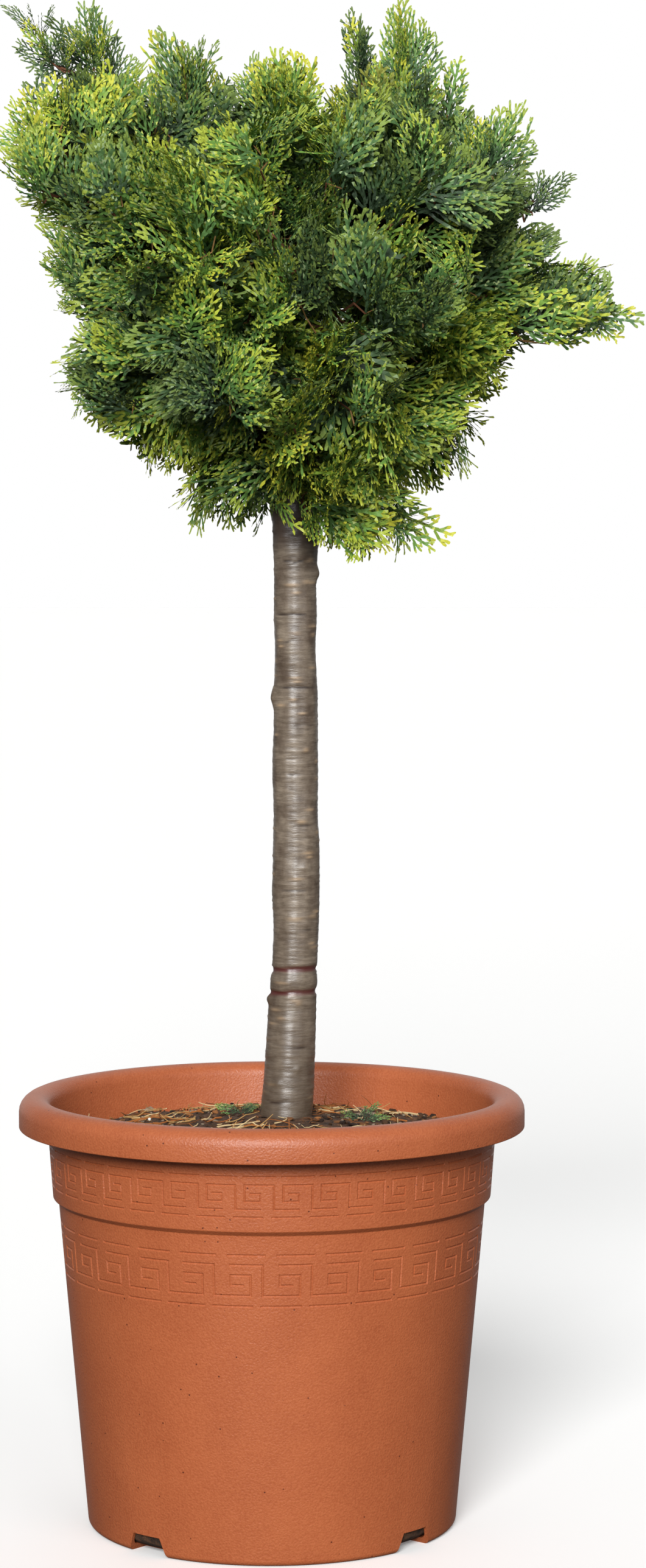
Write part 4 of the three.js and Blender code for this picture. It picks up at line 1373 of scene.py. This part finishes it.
class Spray:
    """One spray: where its foot is, which way it grows, which way it faces, its kind, size and tone, a number
    that fixes its own bends, how wide it is for its kind, and how freely it bends."""

    def __init__(self, mass, foot, grow, face, kind, scale, tone, number, breadth=1.0, give=1.0):
        self.mass, self.foot, self.grow, self.face = mass, foot, grow, face
        self.kind, self.scale, self.tone, self.number = kind, scale, tone, number
        self.breadth, self.give = breadth, give

    def mesh(self):
        """The spray's points, triangles and finishes, bent, cupped and rippled as its own number says."""
        random = random_for(9000 + self.number)
        choices = TEMPLATES[self.kind]
        points, lifted, triangles, zones, length = choices[random.integers(0, len(choices))]
        across, along, up = points.T * self.scale
        across = across * self.breadth
        size = length * self.scale
        if random.uniform() < 0.5:
            across, triangles = -across, triangles[:, ::-1]
        bend, cup, sweep = (random.normal(*way) * self.give for way in (BEND, CUP, SWEEP))
        ripple = random.uniform(*RIPPLE_DEEP) * MM
        wave_across = np.sin(across / RIPPLE_ACROSS + random.uniform(0, 6.3))
        wave = wave_across * np.sin(along / RIPPLE_ALONG + random.uniform(0, 6.3))
        up = up + lifted * self.scale * random.uniform(*LIFT_SHARES) + ripple * wave * along / size
        up = up - bend * along ** 2 / size - cup * across ** 2 / size
        across = across + sweep * along ** 2 / size
        side = np.cross(self.grow, self.face)
        places = self.foot + across[:, None] * side + along[:, None] * self.grow + up[:, None] * self.face
        return places, triangles, zones + len(GREENS["mid"]) * TONES.index(self.tone)


sprays = []
batch_sizes = {}


def add_spray(batch, mass, foot, grow, face, kind, scale, tone, **bends):
    """Adds a spray, numbered within its batch, so that a change to one batch leaves the others alone."""
    place_in_batch = batch_sizes.get(batch, 0)
    batch_sizes[batch] = place_in_batch + 1
    sprays.append(Spray(mass, foot, grow, face, kind, scale, tone, 1000 * batch + place_in_batch, **bends))


class Layer:
    """The places taken so far in one layer of the crown."""

    def __init__(self):
        self.places = np.zeros((0, 3))

    def crowded(self, place, spacing):
        """Whether a place is nearer than a spacing to one that is taken."""
        return len(self.places) > 0 and np.linalg.norm(self.places - place, axis=1).min() < spacing

    def take(self, place):
        self.places = np.vstack([self.places, place])


# How far apart sprays stand in each layer, how deep below a mass's skin the lower layers lie, and how many
# places are tried.
OUTER_SPACING = 12.5 * MM
UNDER_SPACING = 14 * MM
UNDER_DEPTH = 7 * MM
INNER_SPACING = 13 * MM
INNER_DEPTHS = (16 * MM, 38 * MM)
SLOT_SPACING = 12.5 * MM
TRIES_PER_CM2 = 9
HOLLOW_TRIES = 9000
outer_layer, under_layer, inner_layer, slot_layer = Layer(), Layer(), Layer(), Layer()
# Each shoot is a spray across the view and two smaller ones turned from it: angles and sizes.
SHOOT_TURNS = [(0, 1.0), (1.2, 0.8), (2.2, 0.85)]
SHOOT_GIVE = 0.35
INNER_GIVE = 0.2
# Neighbouring sprays lean, turn and shine alike over a plume's width, and the skin they make ripples.
PLUME = 40 * MM
RIPPLE = 20 * MM
RIPPLE_DEPTH = 4.5 * MM
SPRAY_PAST = 1.5 * MM
FOOT_SHARE = 0.93
OLIVE_SHARE = 0.01
# A spray grows away from the crown's heart and its mass's root, and upwards, and drifts with its plume.
FROM_HEART = 0.7
FROM_ROOT = 0.3
UPWARD = 0.25
PLUME_DRIFT = 0.5
OWN_DRIFT = 0.07
PLUME_ROLL = 0.45
OWN_ROLL = 0.14
# It rises off the skin by so many degrees, and more where it stands square to it. Hanging ones droop, and
# below the crown's widest part sprays face outwards, not straight down.
RISE = 16
RISE_BY_LEAN = 10
RISE_SQUARE_ON = 50
UPRIGHT_RISE_LESS = 8
DROOP = 0.45
LOW_FACE_SHARE = 0.25
# A spray's lightness grows as it faces upwards, which is painted light, and outwards, and with its
# plume's shine, and varies by itself.
LIGHTER_UP = 0.12
LIGHTER_OUT = 0.25
PLUME_SHINE = 0.20
OWN_SHINE = 0.06
# The lower layer's greens are darker by this, as painted shade.
UNDER_DARKER = 0.06
OUTER_SIZES = (0.75, 1.08)
INNER_SIZES = (0.85, 1.1)
SLOT_SIZES = (0.7, 0.95)
PIT_SIZES = (0.6, 0.8)
# The shares of fans, fronds and wisps in each habit, and near the tips of upright plumes.
KIND_SHARES = {
    "fan": (0.62, 0.34, 0.04), "prong": (0.5, 0.4, 0.1), "upright": (0.45, 0.50, 0.05),
    "hang": (0.36, 0.36, 0.28), "plume_tip": (0, 0.6, 0.4)}


def inner_spots(place, grow, face):
    """The foot, tip and sides of an inner spray about a place."""
    foot = place - grow * INNER_SHAPE[0] * 0.55
    half_across = np.cross(grow, face) * INNER_SHAPE[1] * 0.8
    return foot, foot + grow * INNER_SHAPE[0], place + half_across, place - half_across


class Mass:
    """One foliage mass: its shape, how it grows, and random numbers that only it draws on."""

    def __init__(self, name, lightness, gold, fullness, habit):
        self.name, self.lightness, self.gold, self.habit = name, lightness, gold, habit
        self.batch = masses.index(name)
        self.random = random_for(77 + self.batch)
        self.spacing = OUTER_SPACING / math.sqrt(fullness)
        self.shape = mass_shapes[name]
        self.corners = self.shape.reshape(-1, 3)
        cross = np.cross(self.shape[:, 1] - self.shape[:, 0], self.shape[:, 2] - self.shape[:, 0])
        self.areas = np.linalg.norm(cross, axis=1) / 2
        self.normals = unit(cross)
        self.middle = (self.shape.mean(axis=1) * self.areas[:, None]).sum(axis=0) / self.areas.sum()
        self.root = wood_places[np.argmin(np.linalg.norm(wood_places - self.middle, axis=1))]
        if habit == "upright":
            nearness = np.linalg.norm(self.corners - self.root, axis=1) + 0.8 * self.corners[:, 2]
            foot = self.corners[nearness <= np.quantile(nearness, 0.3)].mean(axis=0)
            self.root = foot - (0, 0, 8 * MM)
        self.reaches = np.linalg.norm(self.corners - self.root, axis=1)
        self.far = self.reaches.max()

    def add(self, foot, grow, face, kind, scale, tone, **bends):
        add_spray(self.batch, self.name, foot, grow, face, kind, scale, tone, **bends)

    def add_shoots(self):
        """The shoots that stand out against the sky."""
        depth = self.shape[:, :, 1].mean()
        for tip_x, tip_z, foot_x, foot_z, kind, breadth in SHOOTS.get(self.name, ()):
            for turn, size_share in SHOOT_TURNS:
                foot = np.array((foot_x * MM, depth + self.random.normal(0, 3 * MM), foot_z * MM))
                reach = np.array(((tip_x - foot_x) * MM, 0, (tip_z - foot_z) * MM))
                reach = turn_matrix((0, 0, 1), turn) @ reach * size_share
                reach[1] += self.random.normal(0, 2 * MM)
                length = float(np.linalg.norm(reach))
                grow = reach / length
                facing = np.array((math.sin(turn) + self.random.normal(0, 0.2), -math.cos(turn), 0.1))
                value = self.lightness + self.random.normal(0, 0.08)
                tone = "gold" if self.random.uniform() < self.gold else tone_at(value)
                scale = length / TEMPLATES[kind][0][4]
                self.add(foot, grow, perpendicular(facing, grow), kind, scale, tone,
                         breadth=breadth, give=SHOOT_GIVE)

    def places_to_try(self):
        """The mass's furthest corners, then places strewn evenly over its skin, each with its triangle."""
        tries = int(self.areas.sum() / MM ** 2 / 100 * TRIES_PER_CM2)
        picks = self.random.choice(len(self.shape), tries, p=self.areas / self.areas.sum())
        u, v = self.random.uniform(0, 1, (2, tries))
        flip = u + v > 1
        u[flip], v[flip] = 1 - u[flip], 1 - v[flip]
        a, b, c = self.shape[picks].transpose(1, 0, 2)
        strewn = a + u[:, None] * (b - a) + v[:, None] * (c - a)
        furthest = [k for k in np.argsort(-self.reaches) if self.reaches[k] > 0.75 * self.far]
        tips = (self.corners - 2 * MM * unit(self.corners - self.middle))[furthest]
        return np.concatenate([tips, strewn]), np.concatenate([np.array(furthest, int) // 3, picks])

    def growth(self, place, out, drift, lean):
        """Which way a spray grows: along the skin, away from the crown's heart and the mass's root."""
        away = FROM_HEART * unit(place - HEART) + FROM_ROOT * unit(place - self.root) + (0, 0, UPWARD)
        rise = RISE + RISE_BY_LEAN * lean
        if self.habit == "hang":
            away = away - (0, 0, DROOP)
        if self.habit == "upright":
            away = unit(place - self.root) + 0.15 * unit(place - self.middle)
            rise -= UPRIGHT_RISE_LESS
        away = away + PLUME_DRIFT * drift + self.random.normal(0, OWN_DRIFT, 3)
        along = perpendicular(away, out)
        square_on = max(0.0, float(unit(away) @ out)) ** 4
        rise = math.radians(rise + (RISE_SQUARE_ON - rise) * square_on + self.random.normal(0, 4))
        return unit(math.cos(rise) * along + math.sin(rise) * out)

    def facing(self, out, grow, roll):
        """Which way a spray's flat side looks: outwards, or in an upright plume to the front or back."""
        aim = out * (1, 1, 1 if out[2] > 0 else LOW_FACE_SHARE) + self.random.normal(0, 0.10, 3)
        if self.habit == "upright":
            yaw = 0.8 * roll + self.random.normal(0, 0.3)
            front = -1 if out[1] < 0.15 else 1
            aim = np.array((math.sin(yaw), front * math.cos(yaw), 0.15)) + 0.35 * out
        rolled = turn_matrix(grow, PLUME_ROLL * roll + self.random.normal(0, OWN_ROLL))
        return rolled @ perpendicular(aim, grow)

    def cover(self, places, picks):
        """Outer sprays over the mass's skin, and a second layer under them."""
        drift = np.stack([noise(places, PLUME, seed) for seed in (81, 82, 83)], axis=1)
        roll, lean, shine = (noise(places, PLUME, seed) for seed in (84, 85, 86))
        glow, ripple = noise(places, 0.8 * PLUME, 87), noise(places, RIPPLE, 88)
        for k, (place, pick) in enumerate(zip(places, picks)):
            if outer_layer.crowded(place, self.spacing):
                continue
            outer_layer.take(place)
            if openness(place, self.normals[pick], self.random) < OPEN_ENOUGH:
                continue
            if self.habit in ("upright", "prong") and place[2] > self.middle[2]:
                continue
            out = unit(self.normals[pick] + 0.8 * unit(place - self.middle))
            grow = self.growth(place, out, drift[k], lean[k])
            face = self.facing(out, grow, roll[k])
            outwardness = float(np.linalg.norm(place - self.root)) / self.far
            # Painted light: a spray that faces upwards takes a lighter green.
            value = self.lightness + LIGHTER_UP * out[2] + LIGHTER_OUT * (outwardness - 0.7)
            value = value + PLUME_SHINE * shine[k] + self.random.normal(0, OWN_SHINE)
            tone = tone_at(value)
            # Gold comes by the plume, and most of it on sprays that stand far out and look up.
            if 0.5 + 0.8 * glow[k] < self.gold * (1.5 * outwardness * (0.8 + 0.4 * out[2]) - 0.2):
                tone = "gold" if value > 0.45 else "bright"
            elif self.random.uniform() < OLIVE_SHARE:
                tone = "olive"
            shares = KIND_SHARES[self.habit]
            past = SPRAY_PAST + RIPPLE_DEPTH * min(0.3, ripple[k])
            if self.habit == "upright":
                past = SPRAY_PAST
                if outwardness > 0.85:
                    shares = KIND_SHARES["plume_tip"]
            kind = self.random.choice(["fan", "frond", "wisp"], p=shares)
            scale = self.random.uniform(*OUTER_SIZES)
            size = TEMPLATES[kind][0][4] * scale
            foot = place + out * past - grow * size * FOOT_SHARE
            if in_sky(foot + grow * size) or in_sky(foot + grow * size * 0.7):
                continue
            self.add(foot, grow, face, kind, scale, tone)
            if self.habit == "upright" or under_layer.crowded(place, UNDER_SPACING):
                continue
            under_layer.take(place)
            # Painted shade: the second layer takes a darker green than the spray above it, and none lighter
            # than mid.
            tone = tone_at(value - UNDER_DARKER, TONE_STEPS[:3])
            kind = self.random.choice(["fan", "frond"])
            grow = turn_matrix(out, self.random.normal(0, 0.22)) @ grow
            face = perpendicular(face + self.random.normal(0, 0.2, 3), grow)
            foot = place - out * UNDER_DEPTH - grow * size * self.random.uniform(0.6, 0.9)
            if not in_sky(foot + grow * size):
                self.add(foot, grow, face, kind, scale, tone)

    def fill(self, places, picks):
        """Coarse shaded sprays inside the mass, so that no daylight shows through it."""
        for place, pick in zip(places, picks):
            out = self.normals[pick]
            inside = place - out * self.random.uniform(*INNER_DEPTHS)
            if inner_layer.crowded(inside, INNER_SPACING):
                continue
            grow = unit(0.6 * unit(inside - HEART) + self.random.normal(0, 0.5, 3))
            face = perpendicular(out + self.random.normal(0, 0.3, 3), grow)
            foot, tip, *sides = inner_spots(inside, grow, face)
            if in_sky(tip) or not all(deep_within(spot) for spot in (foot, tip, *sides)):
                continue
            inner_layer.take(inside)
            tone = self.random.choice(["shade", "deep"])
            self.add(foot, grow, face, "inner", self.random.uniform(*INNER_SIZES), tone, give=INNER_GIVE)


for members in CROWN.values():
    for name, habits in members.items():
        mass = Mass(name, *habits)
        mass.add_shoots()
        places, picks = mass.places_to_try()
        mass.cover(places, picks)
        mass.fill(places[::2], picks[::2])

# Shaded sprays also fill the hollows between the masses.
HOLLOW_BATCH, SLOT_BATCH, PIT_BATCH = range(len(masses), len(masses) + 3)
crown_box = (all_corners.min(axis=0), all_corners.max(axis=0))
spray_random = random_for(75)
for place in spray_random.uniform(*crown_box, (HOLLOW_TRIES, 3)):
    if within(place) or not enclosed(place) or inner_layer.crowded(place, 0.8 * INNER_SPACING):
        continue
    out = unit(place - HEART)
    grow = unit(0.6 * out + spray_random.normal(0, 0.5, 3))
    face = perpendicular(out + spray_random.normal(0, 0.5, 3), grow)
    spots = inner_spots(place, grow, face)
    if all(enclosed(spot) for spot in spots):
        inner_layer.take(place)
        scale = spray_random.uniform(*INNER_SIZES)
        add_spray(
            HOLLOW_BATCH, nearest_mass(place), spots[0], grow, face, "inner", scale, "shade", give=INNER_GIVE)

# Green sprays fill the slots between the crown's front and back, and the pits that would show daylight.
spray_random = random_for(76)
for place in spray_random.uniform(*crown_box, (HOLLOW_TRIES, 3)):
    if slot_layer.crowded(place, SLOT_SPACING) or not in_slot(place):
        continue
    grow = unit(0.5 * unit(place - HEART) + (0, 0, 0.5) + spray_random.normal(0, 0.25, 3))
    face = perpendicular(unit(place - HEART) + spray_random.normal(0, 0.5, 3), grow)
    scale = spray_random.uniform(*SLOT_SIZES)
    size = FAN_SHAPE[0] * scale
    foot = place - grow * size * 0.6
    tip = foot + grow * size
    if (in_slot(tip) or within(tip)) and not in_sky(tip) and not in_sky(place):
        slot_layer.take(place)
        tone = tone_at(spray_random.normal(0.36, 0.08))
        add_spray(SLOT_BATCH, nearest_mass(place), foot, grow, face, "fan", scale, tone)

# Two small pits in the crown's face are closed by a few sprays each: their places in mm.
PITS = [
    (-88, -66, 705), (-80, -76, 698), (-74, -84, 704), (-22, -40, 614), (-12, -36, 609), (-18, -44, 600),
    (-6, -40, 603), (-13, -30, 594)]
spray_random = random_for(78)
for pit in PITS:
    place = np.array(pit) * MM
    grow = unit(0.5 * unit(place - HEART) + (0, -0.2, 0.1) + spray_random.normal(0, 0.25, 3))
    face = perpendicular((0, -0.8, 0.5) + spray_random.normal(0, 0.25, 3), grow)
    scale = spray_random.uniform(*PIT_SIZES)
    foot = place - grow * FAN_SHAPE[0] * scale * 0.6
    tone = tone_at(spray_random.normal(0.48, 0.08))
    add_spray(PIT_BATCH, nearest_mass(place), foot, grow, face, "fan", scale, tone)


def joined(name, meshes, materials):
    """One flat-shaded object of many triangle meshes, each given as points, triangles and finishes."""
    starts = np.cumsum([0] + [len(points) for points, _, _ in meshes[:-1]])
    points = np.concatenate([points for points, _, _ in meshes])
    triangles = np.concatenate([start + t for start, (_, t, _) in zip(starts, meshes)]).astype(np.int32)
    finishes = np.concatenate([f for _, _, f in meshes]).astype(np.int32)
    data = bpy.data.meshes.new(name)
    data.vertices.add(len(points))
    data.vertices.foreach_set("co", points.astype(np.float32).ravel())
    data.loops.add(3 * len(triangles))
    data.loops.foreach_set("vertex_index", triangles.ravel())
    data.polygons.add(len(triangles))
    data.polygons.foreach_set("loop_start", np.arange(0, 3 * len(triangles), 3, dtype=np.int32))
    for material in materials:
        data.materials.append(material)
    data.polygons.foreach_set("material_index", finishes)
    data.update(calc_edges=True)
    data.shade_flat()
    return put_in_scene(name, data)


for region, members in CROWN.items():
    meshes = [spray.mesh() for spray in sprays if spray.mass in members]
    foliage = joined(region, meshes, LEAF_FINISHES)
    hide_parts(*members)
    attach(foliage, "root")


# SHED SPRIGS AND PELLETS
# A few green tips have dropped on the compost to either side of the stem. Two slow-release feed pellets,
# coated in resin, lie among the straw.
SPRIGS = [
    # middle across and in depth in mm, heading in degrees, size against the spray it is cut from, tone
    (-21, 1, 165, 0.32, "deep"), (-15, -3, 60, 0.30, "shade"), (-12, 6, 100, 0.26, "shade"),
    (47, 2, 150, 0.30, "shade"), (52, 4, 80, 0.36, "shade"), (56, -1, 25, 0.28, "deep"),
]


def litter_height(x, y):
    """Height of the loose litter at one place."""
    return float(soil_height(np.array([x]), np.array([y]))[0]) + 2.5 * MM


sprig_meshes = []
for number, (x, y, heading, size, tone) in enumerate(SPRIGS):
    turn = math.radians(heading)
    grow = unit(np.array((math.cos(turn), math.sin(turn) * 0.6, 0.4)))
    face = perpendicular(np.array((0.0, -0.55, 0.8)), grow)
    foot = np.array((x * MM, y * MM, litter_height(x * MM, y * MM))) - grow * 0.3 * size * FROND_SHAPE[0]
    sprig = Spray("chin", foot, grow, face, "frond", size, tone, 5000 + number)
    sprig_meshes.append(sprig.mesh())
shed_sprigs = joined("shed_sprigs", sprig_meshes, LEAF_FINISHES)
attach(shed_sprigs, "root")

PELLETS = [(67, -30, 1.5, 0), (-68, 0, 1.0, 1)]
pellet_heap = Heap()
for x, y, radius, finish in PELLETS:
    middle = np.array((x * MM, y * MM, litter_height(x * MM, y * MM) + radius * MM))
    pellet_heap.add(middle + ICO_POINTS * radius * MM, ICO_FACES, finish)
PELLET_FINISHES = [
    plain_material("resin_coated_feed_yellow", "#d9cf86", 0.35),
    plain_material("resin_coated_feed_white", "#dcdcd2", 0.35),
]
feed_pellets = pellet_heap.object("feed_pellets", PELLET_FINISHES)
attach(feed_pellets, "root")


# TWIGS
# Red brown twigs fork from the leader and boughs and carry each spray by its foot. A new twig leaves the
# nearest wood that is already there, and each is as thick as the number of sprays beyond it asks.
TWIG_STEP = 7 * MM
MOST_STEPS = 12
LEAST_TWIG = 0.42 * MM
THICKEST_TWIG = 2.4 * MM
PIPE_POWER = 0.42
DETOUR_COST = 0.35
TWIG_SAG = 0.32
wood, wood_cost, wood_ahead = [], [], []
for line in limb_lines.values():
    travelled = np.arange(len(line)) * LIMB_STEP
    keep = slice(2, None, 2)
    wood.extend(line[keep])
    wood_cost.extend(travelled[keep])
    wood_ahead.extend(unit(np.gradient(line, axis=0))[keep])
limb_nodes = len(wood)
room = limb_nodes + MOST_STEPS * len(sprays)
wood = np.concatenate([np.array(wood), np.zeros((room - limb_nodes, 3))])
wood_cost = np.concatenate([np.array(wood_cost), np.zeros(room - limb_nodes)])
wood_ahead = np.concatenate([np.array(wood_ahead), np.zeros((room - limb_nodes, 3))])
wood_parent = np.full(room, -1)
wood_load = np.zeros(room, int)
wood_count = limb_nodes
# The sprays nearest the limbs are joined first. A twig leaves along older wood and arrives along its spray.
twig_random = random_for(55)
feet = np.array([spray.foot for spray in sprays])
nearness = [np.linalg.norm(wood[:limb_nodes] - foot, axis=1).min() for foot in feet]
chains = []
for number in np.argsort(nearness):
    foot, grow = feet[number], sprays[number].grow
    gaps = np.linalg.norm(wood[:wood_count] - foot, axis=1)
    best = int(np.argmin(gaps + DETOUR_COST * wood_cost[:wood_count]))
    start, gap = wood[best], gaps[best]
    steps = int(np.clip(round(gap / TWIG_STEP), 1, MOST_STEPS))
    share = np.arange(1, steps + 1)[:, None] / steps
    leave, arrive = wood_ahead[best] * gap * 0.5, grow * gap * 0.7
    way = ((2 * share ** 3 - 3 * share ** 2 + 1) * start + (share ** 3 - 2 * share ** 2 + share) * leave
           + (3 * share ** 2 - 2 * share ** 3) * foot + (share ** 3 - share ** 2) * arrive)
    inward = unit(HEART - (start + foot) / 2) * TWIG_SAG * gap
    way = way + (inward + twig_random.normal(0, 0.035 * gap, way.shape)) * np.sin(share * math.pi)
    chain = list(range(wood_count, wood_count + steps))
    wood[chain] = way
    wood_cost[chain] = wood_cost[best] + gap * share[:, 0]
    wood_ahead[chain] = unit(np.diff(np.vstack([start, way]), axis=0))
    wood_parent[chain] = [best] + chain[:-1]
    wood_count += steps
    chains.append([best] + chain)
    here = chain[-1]
    while here >= limb_nodes:
        wood_load[here] += 1
        here = wood_parent[here]
twig_heap = Heap()
for chain in chains:
    loads = wood_load[chain]
    loads[0] = loads[1]
    radii = np.clip(LEAST_TWIG * loads ** PIPE_POWER, LEAST_TWIG, THICKEST_TWIG)
    sides = 3 if radii[0] < 0.8 * MM else 5
    age = int(np.searchsorted([2, 8], loads[0], side="right"))
    twig_heap.add(*tube(wood[chain], radii, sides), age)
TWIG_TONES = [
    plain_material("young_twig_bark_tan", "#80603a", 0.8),
    plain_material("twig_bark_red_brown", "#5e3a26", 0.8),
    plain_material("old_twig_bark_brown", "#503022", 0.85),
]
twigs = twig_heap.object("twigs", TWIG_TONES)
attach(twigs, "root")
